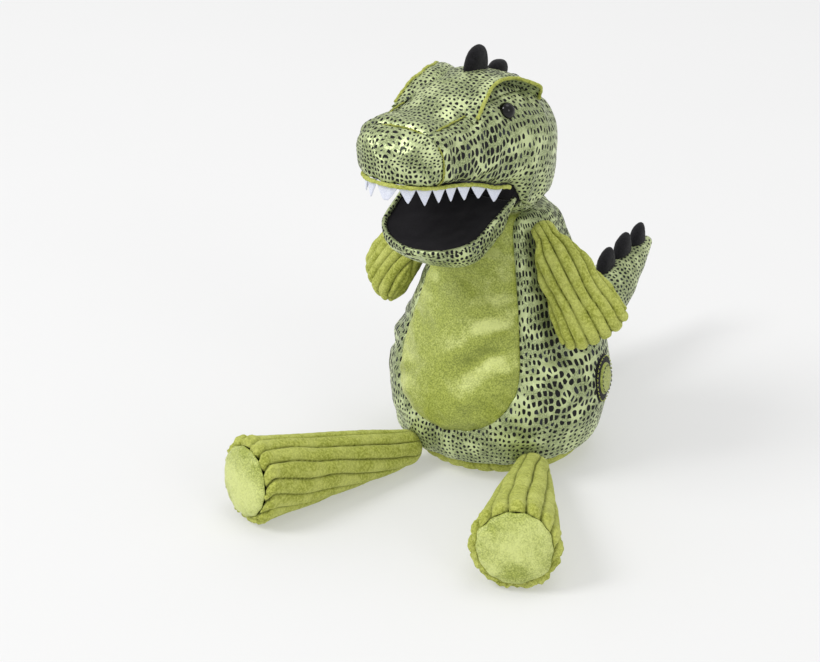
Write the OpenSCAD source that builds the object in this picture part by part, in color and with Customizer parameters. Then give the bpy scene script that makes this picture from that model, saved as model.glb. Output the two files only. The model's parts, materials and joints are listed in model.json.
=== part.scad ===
// Seated plush dinosaur with an open mouth, ribbed arms and legs, and a short tail.
// Millimetres. +Z is up, the dinosaur faces -Y, and +X is its own left side.
// The origin is the centre of the flat base of the body, on the floor.

/* [Body] */
// Largest radius of the pear-shaped body
body_r = 80; // [76:1:84]
// Height of that widest level above the floor
belly_z = 60; // [54:1:66]
// Radius of the flat base
base_r = 50; // [44:1:54]
// Height of the seam between the base panel and the side panels
base_seam_z = 12; // [8:1:16]
// Body radius at the lower end of the straight back
back_low_r = 75; // [72:1:76]
// Height of the lower end of the straight back
back_low_z = 92; // [88:1:98]
// Body radius at the upper end of the straight back
back_high_r = 47; // [44:1:49]
// Height of the upper end of the straight back
back_high_z = 168; // [164:1:170]
// Height of the top of the body, under the head
body_top = 196; // [194:1:198]
// Thickness of the plush fabric with its pile
skin = 2; // [1.6:0.1:2.6]
// Gap between the fabric and the stuffing
fill_gap = 0.3; // [0.2:0.1:0.6]

/* [Belly and patch] */
// Half-width of the belly panel at its widest
belly_half_w = 51; // [44:1:58]
// Height of the lowest point of the belly panel
belly_low_z = 42; // [34:1:50]
// Half-width of the belly panel at the neck
belly_neck_half_w = 24; // [18:1:28]
// Angle of the hip patch round the body, from +X towards +Y
patch_at = 10; // [0:1:20]
// Height of the middle of the hip patch
patch_z = 68; // [60:1:76]
// Diameter of the hip patch
patch_d = 36; // [28:1:42]

/* [Neck] */
// Radius of the stuffed ball between the body and the head
neck_ball_r = 20; // [16:1:21]
// Height of the centre of that ball
neck_z = 197; // [196:1:199]
// Gap between the fabric and the stuffing of the head
head_fill_gap = 1.2; // [1:0.1:1.6]
// Clearance round the neck ball
neck_gap = 0.4; // [0.3:0.1:0.8]

/* [Head] */
// Y of the tip of the nose
nose_y = -150; // [-158:1:-146]
// Y of the back of the head
nape_y = 28; // [26:1:34]
// Half-width of the muzzle
muzzle_w = 36; // [33:1:38]
// Half-width of the head at the cheeks
cheek_w = 50; // [47:1:54]
// Height of the crown
crown_z = 303; // [298:1:310]
// Y where the muzzle's own panel ends
nose_seam_y = -132; // [-136:1:-126]
// Y of the corners of the mouth
mouth_y = -54; // [-56:1:-52]
// Height of the corners of the mouth
mouth_z = 226; // [223:1:228]
// Height of the lip at the nose
lip_z = 251; // [247:1:254]
// Height of the flat underside of the head
head_low = 204; // [203:1:208]

/* [Face] */
// Diameter of the domed eyes
eye_d = 12; // [9:0.5:14]
// Y of the eyes
eye_y = -61; // [-66:1:-56]
// Angle round the head section at which the eyes sit
eye_at = 39; // [34:1:46]
// Diameter of the eye posts
post_d = 3; // [2.5:0.1:4]
// Length of the eye posts behind the dome
post_len = 11; // [9:0.5:13]
// Diameter of the washers that hold the eyes
washer_d = 14; // [12:0.5:16]
// Height of the brow ridges above the fabric
brow_h = 9; // [6:0.5:11]
// Teeth in the felt strip
tooth_count = 15; // [11:2:19]
// Length of the longest tooth
tooth_len = 9.5; // [7:0.5:11]
// Length of the shortest teeth, at the corners
tooth_min = 5; // [4:0.5:6]
// Thickness of the felt
felt = 1.2; // [0.8:0.1:1.6]

/* [Jaw] */
// Length of the lower jaw from its hinge line
jaw_len = 74; // [66:1:78]
// Half-width of the lower jaw at the hinge
jaw_w = 43; // [39:1:45]
// Depth of the lower jaw
jaw_deep = 32; // [28:1:34]
// Angle of the lower lip below the horizontal
jaw_drop = 24; // [21:1:27]

/* [Arms] */
// Length of an arm from its pivot
arm_len = 85; // [76:1:92]
// Radius of the sewn end of an arm
arm_root_r = 8.5; // [7:0.5:9.5]
// Half-width of the hand end
arm_half_w = 29; // [24:1:31]
// Half-thickness of the hand end
arm_half_t = 16; // [13:1:18]
// X of an arm's pivot
arm_pivot_x = 48; // [48:0.5:54]
// Y of an arm's pivot
arm_pivot_y = -20; // [-24:1:-19]
// Height of an arm's pivot
arm_pivot_z = 185; // [184:0.5:187]
// Angle of the arms out from the vertical
arm_out = 35; // [33:1:48]

/* [Legs] */
// Length of a leg from its pivot to the sole
leg_len = 140; // [128:1:152]
// Radius of a leg at its sewn end
leg_root_r = 14; // [12:0.5:15]
// Radius of a leg at the foot
foot_r = 31; // [28:0.5:34]
// Radius of the sole pad
sole_r = 25; // [21:0.5:27]
// How far the sole pad stands out
sole_bulge = 6; // [4:0.5:8]
// Place of the left leg round the body, from the front towards the left
left_leg_at = 48; // [42:1:55]
// Place of the right leg round the body, from the front towards the right
right_leg_at = 24; // [24:1:40]
// Direction of the left leg, outwards from straight ahead
left_leg_splay = 26; // [15:1:35]
// Direction of the right leg, outwards from straight ahead
right_leg_splay = 20; // [14:1:30]

/* [Tail] */
// Length of the tail from its pivot
tail_len = 138; // [120:1:150]
// Radius of the tail at its root
tail_root_r = 25; // [21:1:27]
// Height of the tail's pivot
tail_z = 46; // [42:1:52]
// Upward angle of the tail
tail_rise = 17; // [12:1:22]

/* [Spikes] */
// Thickness of the stuffed felt spikes
spike_t = 7; // [4:0.5:8]
// Length along the crown of the first spike
spike_base = 24; // [18:1:25]
// Height of the first spike
spike_h = 20; // [16:1:24]

/* [Back pocket] */
// Length of the zip
zip_len = 74; // [60:1:78]
// Width of one zip tape
tape_w = 10; // [8:0.5:12]
// Thickness of the zip tape
tape_t = 0.8; // [0.6:0.1:1]
// Width of the closed row of zip teeth
zip_row_w = 4; // [3:0.5:5]
// Thickness of the zip teeth
zip_row_t = 1.6; // [1.2:0.1:2]
// Spacing of the zip teeth
zip_pitch = 2; // [1.6:0.1:2.5]
// Length of the zip slider
slider_len = 10; // [8:0.5:12]
// Clearance of the slider over the teeth
slider_gap = 0.4; // [0.3:0.1:0.6]
// Length of the pull tab
pull_len = 22; // [16:1:26]

/* [Hidden] */
round_fn = 96;
big = 400;
sliver = 0.01;
clear = 0.4;

lime_cord = [0.62, 0.65, 0.28];
lime_velour = [0.62, 0.66, 0.33];
print_cloth = [0.45, 0.50, 0.33];
black_felt = [0.08, 0.08, 0.09];
lining_cloth = [0.05, 0.04, 0.06];
white_felt = [0.93, 0.94, 0.97];
fill_white = [0.96, 0.96, 0.94];
black_gloss = [0.02, 0.02, 0.02];
grey_thread = [0.35, 0.36, 0.33];
bead_cloth = [0.85, 0.83, 0.75];
zip_green = [0.42, 0.46, 0.22];

// ---- curve helpers ----

// Index of the row pair that holds the parameter t
function span_of(rows, t, i = 0) = i >= len(rows) - 2 || t <= rows[i + 1][0] ? i : span_of(rows, t, i + 1);

// Slope of the smooth curve at row i
function slope_at(rows, i) =
    let (a = max(i - 1, 0), b = min(i + 1, len(rows) - 1))
    (rows[b] - rows[a]) / (rows[b][0] - rows[a][0]);

// Smooth curve through rows of [t, values...]
function smooth(rows, t) =
    let (i = span_of(rows, t), step = rows[i + 1][0] - rows[i][0], f = (t - rows[i][0]) / step)
    (2 * pow(f, 3) - 3 * pow(f, 2) + 1) * rows[i]
    + (pow(f, 3) - 2 * pow(f, 2) + f) * step * slope_at(rows, i)
    + (3 * pow(f, 2) - 2 * pow(f, 3)) * rows[i + 1]
    + (pow(f, 3) - pow(f, 2)) * step * slope_at(rows, i + 1);

// Outward normal of an [r, z] outline at point i, for an outline that runs upwards
function path_normal(path, i) =
    let (d = path[min(i + 1, len(path) - 1)] - path[max(i - 1, 0)])
    [d[1], -d[0]] / norm(d);

// The outline moved inwards by t
function inset_path(path, t) = [for (i = [0 : len(path) - 1]) path[i] - t * path_normal(path, i)];

function backwards(list) = [for (i = [len(list) - 1 : -1 : 0]) list[i]];

// Quarter-circle rounding of an end: 0 at the end, 1 from the distance r on
function end_round(d, r) = d < r ? sqrt(max(0, 1 - pow(1 - d / r, 2))) : 1;

function sgn_pow(v, p) = sign(v) * pow(abs(v), p);

// ---- solids from grids of points ----

// Triangles of one layer of an m x n grid of points that starts at index s
function grid_faces(m, n, s, flip) = [
    for (i = [0 : m - 2], j = [0 : n - 2], half = [0, 1])
        let (a = s + i * n + j, b = a + 1, c = a + n, d = c + 1)
        let (f = half == 0 ? [a, b, d] : [a, d, c])
        flip ? backwards(f) : f
];

// Closed sheet between an outer and an inner grid of m x n points
module sheet(outer, inner, m, n) {
    k = m * n;
    low = [for (j = [0 : n - 1]) j];
    high = [for (j = [0 : n - 1]) (m - 1) * n + j];
    near = [for (i = [0 : m - 1]) i * n];
    far = [for (i = [0 : m - 1]) i * n + n - 1];
    function strip(e, flip) = [
        for (i = [0 : len(e) - 2], half = [0, 1])
            let (f = half == 0 ? [e[i], e[i] + k, e[i + 1] + k] : [e[i], e[i + 1] + k, e[i + 1]])
            flip ? backwards(f) : f
    ];
    polyhedron(
        points = concat(outer, inner),
        faces = concat(grid_faces(m, n, 0, false), grid_faces(m, n, k, true),
                       strip(low, false), strip(high, true), strip(near, true), strip(far, false)));
}

// Closed solid through m rings of n points each, with flat ends
module rings_solid(points, m, n) {
    polyhedron(
        points = points,
        faces = concat(
            [for (i = [0 : m - 2], j = [0 : n - 1], half = [0, 1])
                let (a = i * n + j, b = i * n + (j + 1) % n, c = a + n, d = b + n)
                half == 0 ? [a, b, d] : [a, d, c]],
            [[for (j = [n - 1 : -1 : 0]) j]],
            [[for (j = [0 : n - 1]) (m - 1) * n + j]]));
}

// ---- body ----

bulb_rows = [
    [0, base_r, 0],
    [1, base_r + 0.42 * (body_r - base_r), 0.12 * belly_z],
    [2, base_r + 0.78 * (body_r - base_r), 0.42 * belly_z],
    [3, body_r, belly_z],
    [4, back_low_r, back_low_z]
];
shoulder_rows = [
    [0, back_high_r, back_high_z],
    [1, back_high_r - 6.5, back_high_z + 0.6 * (body_top - back_high_z)],
    [2, back_high_r - 13, body_top - 2.6],
    [3, neck_ball_r + 6, body_top]
];
bulb_path = [for (i = [0 : 12]) let (p = smooth(bulb_rows, i / 3)) [p[1], p[2]]];
shoulder_path = [for (i = [0 : 6]) let (p = smooth(shoulder_rows, i / 2)) [p[1], p[2]]];
pear_path = concat(bulb_path, shoulder_path);
fill_path = inset_path(pear_path, skin + fill_gap);
back_slope = (back_low_r - back_high_r) / (back_high_z - back_low_z);
back_tilt = atan(back_slope);

// Radius of the body's outer face at the height z, on the straight back
function back_r(z) = back_low_r - back_slope * (z - back_low_z);

// Half-width of the belly panel's outline over its height, as rows of [height, half-width]
belly_rows = [
    [belly_low_z, 0],
    [belly_low_z + 5, 0.52 * belly_half_w],
    [belly_low_z + 20, 0.88 * belly_half_w],
    [belly_low_z + 42, belly_half_w],
    [belly_low_z + 80, 0.86 * belly_half_w],
    [body_top + 1, belly_neck_half_w]
];
belly_zs = concat(
    [for (i = [0 : 5]) belly_low_z + 5 * pow(i / 5, 2)],
    [for (i = [1 : 5]) belly_low_z + 5 + i * 15 / 5],
    [for (i = [1 : 10]) belly_low_z + 20 + i * (body_top + 1 - belly_low_z - 20) / 10]);

function belly_x(z) =
    z < belly_low_z + 5
    ? 0.52 * belly_half_w * sqrt((z - belly_low_z) / 5)
    : smooth(belly_rows, z)[1];

module pear_band(t) {
    outer = pear_path;
    inner = inset_path(pear_path, t);
    rotate_extrude($fn = round_fn) polygon(concat(outer, backwards(inner)));
}

module belly_cutter() {
    right = [for (z = belly_zs) [belly_x(z), z]];
    left = [for (z = backwards(belly_zs)) if (z > belly_low_z) [-belly_x(z), z]];
    rotate([90, 0, 0]) linear_extrude(big / 2) polygon(concat(right, left));
}

module side_panel(side) {
    color(print_cloth) difference() {
        intersection() {
            pear_band(skin);
            translate([side > 0 ? 0 : -big, -big / 2, base_seam_z]) cube([big, big, big]);
        }
        belly_cutter();
    }
}

module body_side_left() {
    side_panel(1);
}

module body_side_right() {
    side_panel(-1);
}

module belly_panel() {
    color(lime_velour) intersection() {
        pear_band(skin);
        belly_cutter();
    }
}

module base_panel() {
    color(lime_cord) union() {
        intersection() {
            pear_band(skin);
            translate([0, 0, -sliver]) cylinder(h = base_seam_z + sliver, r = big / 2, $fn = round_fn);
        }
        cylinder(h = skin, r = base_r - 0.2, $fn = round_fn);
    }
}

bag_r = 0.58 * body_r;
bag_low = skin + 4;
bag_high = belly_z - 16;

module bean_bag_shape() {
    mid = (bag_low + bag_high) / 2;
    half = (bag_high - bag_low) / 2;
    rotate_extrude($fn = round_fn) polygon(concat(
        [for (a = [-90 : 15 : 90]) [bag_r - half + half * cos(a), mid + half * sin(a)]],
        [[0, bag_high], [0, bag_low]]));
}

module bean_bag() {
    color(bead_cloth) bean_bag_shape();
}

pouch_size = [46, 3, 56];
pouch_y = 28;
pouch_z = 92;

module pocket_pouch() {
    color(zip_green) translate([-pouch_size[0] / 2, pouch_y, pouch_z]) cube(pouch_size);
}

module body_stuffing() {
    floor_path = [[0, skin + fill_gap], [base_r - skin - 1, skin + fill_gap]];
    upper = [for (p = fill_path) if (p[1] > skin + fill_gap) p];
    color(fill_white) difference() {
        rotate_extrude($fn = round_fn)
            polygon(concat(floor_path, upper, [[0, body_top - skin - fill_gap]]));
        translate([0, 0, neck_z]) sphere(r = neck_ball_r + neck_gap, $fn = round_fn);
        bean_bag_shape();
        translate([-pouch_size[0] / 2, pouch_y, pouch_z]) cube(pouch_size);
    }
}

module hip_patch() {
    color(black_felt) intersection() {
        rotate_extrude($fn = round_fn)
            polygon(concat(inset_path(bulb_path, -1.4), backwards(inset_path(bulb_path, -0.1))));
        rotate([0, 0, patch_at]) translate([0, 0, patch_z]) rotate([0, 90, 0])
            cylinder(h = big, d = patch_d, $fn = 64);
    }
}

label_size = [1, 16, 20];

module care_label() {
    color(white_felt) rotate([0, 0, 128]) translate([back_low_r - 1.5, 0, base_seam_z - 5])
        rotate([0, 62, 0]) translate([-label_size[0], -label_size[1] / 2, 4]) cube(label_size);
}

// ---- back pocket zip ----

zip_mid_z = (back_low_z + back_high_z) / 2;

// Everything on the zip is laid out on the line up the back: x across, y up the line, z outwards
module on_back() {
    translate([0, back_r(zip_mid_z), zip_mid_z]) rotate([90 + back_tilt, 0, 0]) mirror([0, 0, 1]) children();
}

module zip_tape(side) {
    lo = zip_mid_z - zip_len / 2;
    hi = zip_mid_z + zip_len / 2;
    span = atan(tape_w / back_r(zip_mid_z));
    seam = atan(0.3 / back_r(zip_mid_z));
    color(zip_green) rotate([0, 0, side > 0 ? 90 - span : 90 + seam])
        rotate_extrude(angle = span - seam, $fn = round_fn)
            polygon([
                [back_r(lo) + 0.1, lo], [back_r(lo) + 0.1 + tape_t, lo],
                [back_r(hi) + 0.1 + tape_t, hi], [back_r(hi) + 0.1, hi]
            ]);
}

module zip_tape_left() {
    zip_tape(1);
}

module zip_tape_right() {
    zip_tape(-1);
}

row_floor = 0.1 + tape_t + 0.1;

module zip_teeth() {
    teeth = floor((zip_len - 4) / zip_pitch);
    color(black_felt) on_back() for (i = [0 : teeth - 1])
        translate([-zip_row_w / 2, (i - (teeth - 1) / 2) * zip_pitch - zip_pitch * 0.35, row_floor])
            cube([zip_row_w, zip_pitch * 0.7, zip_row_t]);
}

slider_w = zip_row_w + 2 * slider_gap + 3;
slider_top = row_floor + zip_row_t + slider_gap + 1.2;
slider_y = zip_len / 2 - slider_len / 2 - 1;
pull_pin_z = slider_top + 2;

module zip_slider() {
    channel_w = zip_row_w + 2 * slider_gap;
    color("silver") on_back() translate([0, slider_y, 0]) {
        difference() {
            translate([-slider_w / 2, -slider_len / 2, row_floor + 0.2])
                cube([slider_w, slider_len, slider_top - row_floor - 0.2]);
            translate([-channel_w / 2, -big / 2, -1])
                cube([channel_w, big, 1 + row_floor + zip_row_t + slider_gap]);
        }
        for (side = [-1, 1]) translate([side * 1.9 - 0.5, -2, slider_top])
            cube([1, 4, 3.2]);
        translate([-1.6, 0, pull_pin_z]) rotate([0, 90, 0]) cylinder(h = 3.2, d = 1.2, $fn = 32);
    }
}

module zip_pull() {
    color("silver") on_back() translate([0, slider_y, pull_pin_z]) {
        difference() {
            union() {
                rotate([0, 90, 0]) translate([0, 0, -1.1]) cylinder(h = 2.2, d = 3, $fn = 32);
                translate([-1.1, -8, -0.7]) cube([2.2, 8, 1.4]);
                translate([-3, -pull_len, -0.7]) cube([6, pull_len - 7, 1.4]);
            }
            rotate([0, 90, 0]) translate([0, 0, -5]) cylinder(h = 10, d = 1.8, $fn = 32);
            translate([0, -pull_len + 5, -2]) cylinder(h = 4, d = 3, $fn = 32);
        }
    }
}

// ---- neck ----

module neck_ball() {
    color(fill_white) translate([0, 0, neck_z]) sphere(r = neck_ball_r, $fn = round_fn);
}

// ---- head ----

head_len = nape_y - nose_y;
nose_round = 26;
nape_round = 60;
nape_low_round = 34;

// Rows of [y, half-width, top, middle, bottom]
head_rows = [
    [nose_y, muzzle_w - 1, crown_z - 16, lip_z + 17, lip_z + 1],
    [nose_y + 28, muzzle_w + 1, crown_z - 12, lip_z + 15, lip_z - 3],
    [nose_y + 56, muzzle_w + 5, crown_z - 8, lip_z + 10, lip_z - 10],
    [mouth_y - 20, cheek_w - 5, crown_z - 2, lip_z + 5, mouth_z + 7],
    [mouth_y, cheek_w - 2, crown_z, lip_z, mouth_z],
    [mouth_y + 12, cheek_w, crown_z, lip_z - 2, head_low + 2],
    [-14, cheek_w, crown_z - 5, lip_z - 4, head_low],
    [nape_y, cheek_w - 2, crown_z - 10, lip_z - 6, head_low + 2]
];
top_power = 2 / 2.3;
low_power = 2 / 4;
lip_at = -45;

// Point of the head's surface at the share t of its length and the angle v round its section
function head_pt(t, v, inset) =
    let (
        y = nose_y + head_len * t,
        r = smooth(head_rows, y),
        f = end_round(y - nose_y, nose_round) * end_round(nape_y - y, nape_round),
        half = (r[1] - inset) * f,
        up = (r[2] - r[3] - inset) * f,
        down = (r[3] - r[4] - inset) * end_round(nape_y - y, nape_low_round)
    )
    [
        half * sgn_pow(cos(v), sin(v) > 0 ? top_power : low_power),
        nose_y + inset + (head_len - 2 * inset) * t,
        r[3] + (sin(v) > 0 ? up * sgn_pow(sin(v), top_power) : down * sgn_pow(sin(v), low_power))
    ];

function head_t(y) = (y - nose_y) / head_len;

tip = 0.0002;
seam_t = head_t(nose_seam_y);
throat_t = head_t(mouth_y + 10);
crown_from = 55;
crown_to = 180 - crown_from;

// Shares of the length at which every panel has a row of points, close together at both ends
head_rings = 30;
head_ts = [for (i = [0 : head_rings]) tip + (1 - 2 * tip) * (1 - cos(180 * i / head_rings)) / 2];
ring_gap = 0.006;

function ts_between(t0, t1) = concat([t0], [for (t = head_ts) if (t > t0 + ring_gap && t < t1 - ring_gap) t], [t1]);

module head_sheet(t0, t1, v0, v1, columns) {
    ts = ts_between(t0, t1);
    vs = [for (j = [0 : columns]) v0 + (v1 - v0) * j / columns];
    sheet(
        [for (t = ts, v = vs) head_pt(t, v, 0)],
        [for (t = ts, v = vs) head_pt(t, v, skin)],
        len(ts), columns + 1);
}

module nose_panel() {
    color(print_cloth) head_sheet(tip, seam_t, lip_at, 180 - lip_at, 27);
}

module crown_panel() {
    color(print_cloth) head_sheet(seam_t, 1 - tip, crown_from, crown_to, 7);
}

// Children stand on the head's surface at y and v with their z axis pointing out of it
module on_head(y, v, side) {
    p = head_pt(head_t(y), v, 0);
    along = head_pt(head_t(y + 1), v, 0) - head_pt(head_t(y - 1), v, 0);
    round_it = head_pt(head_t(y), v + 1, 0) - head_pt(head_t(y), v - 1, 0);
    n = cross(along, round_it);
    mirror([side > 0 ? 0 : 1, 0, 0]) translate(p) rotate([0, acos(n[2] / norm(n)), atan2(n[1], n[0])])
        children();
}

module eye_hole() {
    translate([0, 0, -post_len - 1]) cylinder(h = post_len + 4, d = post_d + 0.4, $fn = 24);
}

module cheek(side) {
    color(print_cloth) difference() {
        head_sheet(seam_t, 1 - tip, side > 0 ? lip_at : crown_to, side > 0 ? crown_from : 180 - lip_at, 10);
        on_head(eye_y, eye_at, side) eye_hole();
    }
}

module cheek_left() {
    cheek(1);
}

module cheek_right() {
    cheek(-1);
}

module palate_lining() {
    color(lining_cloth) head_sheet(tip, throat_t, 180 - lip_at, 360 + lip_at, 9);
}

module neck_room() {
    translate([0, 0, neck_z]) sphere(r = neck_ball_r + neck_gap, $fn = round_fn);
}

module head_base() {
    color(print_cloth) difference() {
        head_sheet(throat_t, 1 - tip, 180 - lip_at, 360 + lip_at, 9);
        neck_room();
    }
}

module head_stuffing() {
    ts = concat([0.003], [for (t = head_ts) if (t > 0.004 && t < 0.996) t], [0.997]);
    vs = [for (j = [0 : 35]) j * 10 + 5];
    color(fill_white) difference() {
        rings_solid([for (t = ts, v = vs) head_pt(t, -v, skin + head_fill_gap)], len(ts), len(vs));
        neck_room();
        for (side = [-1, 1]) on_head(eye_y, eye_at, side) {
            eye_hole();
            translate([0, 0, -washer_back - washer_t - 0.2])
                cylinder(h = washer_t + 4, d = washer_d + 0.4, $fn = 32);
        }
    }
}

washer_t = 1.4;
washer_back = skin + head_fill_gap + 0.8;

module eye(side) {
    color(black_gloss) on_head(eye_y, eye_at, side) {
        translate([0, 0, 0.6]) intersection() {
            sphere(d = eye_d, $fn = 64);
            cylinder(h = eye_d, d = eye_d, $fn = 64);
        }
        translate([0, 0, -post_len]) cylinder(h = post_len + 1, d = post_d, $fn = 24);
    }
}

module eye_left() {
    eye(1);
}

module eye_right() {
    eye(-1);
}

module washer(side) {
    color(fill_white) on_head(eye_y, eye_at, side) translate([0, 0, -washer_back - washer_t]) difference() {
        cylinder(h = washer_t, d = washer_d, $fn = 32);
        translate([0, 0, -1]) cylinder(h = washer_t + 2, d = post_d + 0.2, $fn = 24);
    }
}

module washer_left() {
    washer(1);
}

module washer_right() {
    washer(-1);
}

nostril_back = 4;
nostril_at = 50;
nostril_r = 2.7;

module nostril(side) {
    color(grey_thread) on_head(nose_y + nostril_back, nostril_at, side) translate([0, 0, 1.2])
        rotate_extrude($fn = 32) translate([nostril_r, 0]) circle(d = 1.4, $fn = 16);
}

module nostril_left() {
    nostril(1);
}

module nostril_right() {
    nostril(-1);
}

// A padded fold over the eye, highest along its lower edge
module brow(side) {
    y0 = eye_y - 32;
    y1 = eye_y + 46;
    n = 12;
    m = 5;
    function lift(a, b) = 0.4 + brow_h * pow(sin(180 * a), 0.8) * sin(20 + 150 * b);
    ts = [for (i = [0 : n]) head_t(y0 + (y1 - y0) * i / n)];
    vs = [for (i = [0 : n]) eye_at + 14 + 22 * sin(180 * i / n) - 10];
    outer = [for (i = [0 : n], j = [0 : m])
        head_pt(ts[i], vs[i] + 12 * (j / m - 0.2), -lift(i / n * 0.94 + 0.03, j / m))];
    inner = [for (i = [0 : n], j = [0 : m]) head_pt(ts[i], vs[i] + 12 * (j / m - 0.2), -0.3)];
    color(print_cloth) mirror([side > 0 ? 0 : 1, 0, 0]) sheet(outer, inner, n + 1, m + 1);
}

module brow_left() {
    brow(1);
}

module brow_right() {
    brow(-1);
}

// ---- lip and teeth ----

// Point of the lip seam: s runs from -1 at the right corner of the mouth to 1 at the left corner
function lip_pt(s, out, lower) =
    let (
        t = tip + (head_t(mouth_y - 4) - tip) * pow(abs(s), 1.6),
        p = head_pt(t, s < 0 ? 180 - lip_at : lip_at, -out)
    )
    [p[0], p[1], p[2] - lower];

trim_r = 1.4;
trim_out = 2;
trim_low = 1.2;

module lip_trim() {
    ss = [for (i = [0 : 28]) -1 + 2 * i / 28];
    ring = [for (a = [0 : 45 : 315]) trim_r * [cos(a), sin(a)]];
    color(lime_cord) rings_solid(
        [for (s = ss, q = ring) lip_pt(s, trim_out + q[0], trim_low - q[1])], len(ss), len(ring));
}

// Share of the lip that carries teeth, their top edge below it, and how far inside it they hang
tooth_span = 0.96;
tooth_top = 3.8;
tooth_in = 1.5;

// Drop of the toothed edge below the lip at s
function tooth_drop(s) =
    let (
        wave = abs(((s + 1) / 2 * tooth_count) % 1 - 0.5) * 2,
        size = tooth_min + (tooth_len - tooth_min) * pow(cos(70 * s), 0.7)
    )
    size * (1 - wave);

module upper_teeth() {
    n = tooth_count * 2;
    ss = [for (i = [0 : n]) tooth_span * (2 * i / n - 1)];
    function edge(out) = [
        for (s = ss) each [lip_pt(s, out, tooth_top + 1 + tooth_drop(s / tooth_span)), lip_pt(s, out, tooth_top)]
    ];
    color(white_felt) sheet(edge(felt - tooth_in), edge(-tooth_in), n + 1, 2);
}

// ---- spikes ----

// A felt spike that stands on the line z = 0 in the YZ plane, leaning towards +Y
module spike(base, height, lean) {
    side = [for (a = [0 : 15 : 180]) [
        -base / 2 * cos(a) * (1 - 0.25 * sin(a)) + lean * pow(sin(a), 2),
        height * pow(sin(a), 0.8)]];
    translate([-spike_t / 2, 0, 0]) rotate([90, 0, 90]) linear_extrude(spike_t) polygon(side);
}

// Rows of [y, base length, height, lean] along the crown
spike_rows = [
    [-40, spike_base, spike_h, 2],
    [-12, 0.75 * spike_base, 0.7 * spike_h, 3],
    [9, 0.6 * spike_base, 0.5 * spike_h, 3]
];

module crown_spikes() {
    color(black_felt) for (row = spike_rows) {
        p = head_pt(head_t(row[0]), 90, 0);
        q = head_pt(head_t(row[0] + 2), 90, 0);
        tilt = atan2(q[2] - p[2], q[1] - p[1]);
        translate([0, p[1], p[2] + clear]) rotate([tilt, 0, 0]) spike(row[1], row[2], row[3]);
    }
}

// ---- jaw ----

jaw_hinge_z = mouth_z - 1;
jaw_hinge_y = mouth_y + 4;

// Rows of [distance from the hinge, half-width, depth]
jaw_rows = [
    [4, jaw_w, 0.42 * jaw_deep],
    [16, jaw_w - 0.5, 0.82 * jaw_deep],
    [34, jaw_w - 2, jaw_deep],
    [jaw_len, jaw_w - 5, 0.86 * jaw_deep]
];
jaw_round = 28;
jaw_from = 4;

// Point of the jaw's surface: t along it, v round its section, 0 to 180 being the floor of the mouth
function jaw_pt(t, v, inset) =
    let (
        d = jaw_from + (jaw_len - jaw_from) * t,
        r = smooth(jaw_rows, d),
        f = end_round(jaw_len - d, jaw_round),
        half = (r[1] - inset) * f,
        deep = r[2] * (0.35 + 0.65 * f) - inset
    )
    [
        half * sgn_pow(cos(v), sin(v) > 0 ? 1 : 2 / 2.4),
        -(jaw_from + inset + (jaw_len - jaw_from - 2 * inset) * t),
        sin(v) > 0
        ? -inset - 2.5 * f * sin(v)
        : -inset - (deep - inset) * f * pow(-sin(v), 2 / 2.4)
    ];

module jaw_place() {
    translate([0, jaw_hinge_y, jaw_hinge_z]) rotate([jaw_drop, 0, 0]) children();
}

module jaw_sheet(v0, v1, columns, inset0, inset1) {
    ts = [for (i = [0 : 12]) sin(90 * i / 12) * (1 - tip)];
    vs = [for (j = [0 : columns]) v0 + (v1 - v0) * j / columns];
    sheet(
        [for (t = ts, v = vs) jaw_pt(t, -v, inset0)],
        [for (t = ts, v = vs) jaw_pt(t, -v, inset1)],
        len(ts), len(vs));
}

module jaw_skin() {
    color(print_cloth) jaw_place() jaw_sheet(2, 178, 14, 0, skin);
}

module jaw_lining() {
    color(lining_cloth) jaw_place() jaw_sheet(182, 358, 8, 0, skin);
}

module jaw_stuffing() {
    ts = [for (i = [0 : 12]) sin(90 * i / 12) * 0.996];
    vs = [for (j = [0 : 19]) j * 18];
    color(fill_white) jaw_place()
        rings_solid([for (t = ts, v = vs) jaw_pt(t, -v, skin + fill_gap)], len(ts), len(vs));
}

// ---- arms ----

// Rows of [distance from the pivot, half-width, half-thickness]
arm_rows = [
    [0, arm_root_r + 1.5, arm_root_r],
    [0.2 * arm_len, 0.60 * arm_half_w, 0.68 * arm_half_t],
    [0.6 * arm_len, 0.86 * arm_half_w, 0.92 * arm_half_t],
    [arm_len, arm_half_w, arm_half_t]
];
arm_round = 13;
arm_roll = 38;

function arm_pt(t, v, inset) =
    let (
        d = arm_len * t,
        r = smooth(arm_rows, max(0, d)),
        root = -arm_root_r,
        f = end_round(arm_len - d, arm_round) * end_round(d - root, arm_root_r)
    )
    [
        max(sliver, (r[1] - inset)) * f * cos(v),
        max(sliver, (r[2] - inset)) * f * sin(v),
        -(d + (t < 0.5 ? inset * (1 - 2 * t) : -inset * (2 * t - 1)))
    ];

module arm_place(side) {
    mirror([side > 0 ? 0 : 1, 0, 0]) translate([arm_pivot_x, arm_pivot_y, arm_pivot_z])
        rotate([0, -arm_out, 0]) rotate([0, 0, arm_roll]) children();
}

arm_ts = concat(
    [for (a = [-85 : 17 : -17]) sin(a) * arm_root_r / arm_len],
    [for (i = [0 : 6]) i / 6 * (1 - arm_round / arm_len)],
    [for (a = [18 : 14 : 88]) 1 - (1 - sin(a)) * arm_round / arm_len]);

module arm_solid(inset) {
    vs = [for (j = [0 : 19]) j * 18];
    rings_solid([for (t = arm_ts, v = vs) arm_pt(t, v, inset)], len(arm_ts), len(vs));
}

module arm_skin(side) {
    color(lime_cord) arm_place(side) difference() {
        arm_solid(0);
        arm_solid(skin);
    }
}

module arm_fill(side) {
    color(fill_white) arm_place(side) arm_solid(skin + fill_gap);
}

module arm_left() {
    arm_skin(1);
}

module arm_right() {
    arm_skin(-1);
}

module arm_stuffing_left() {
    arm_fill(1);
}

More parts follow.
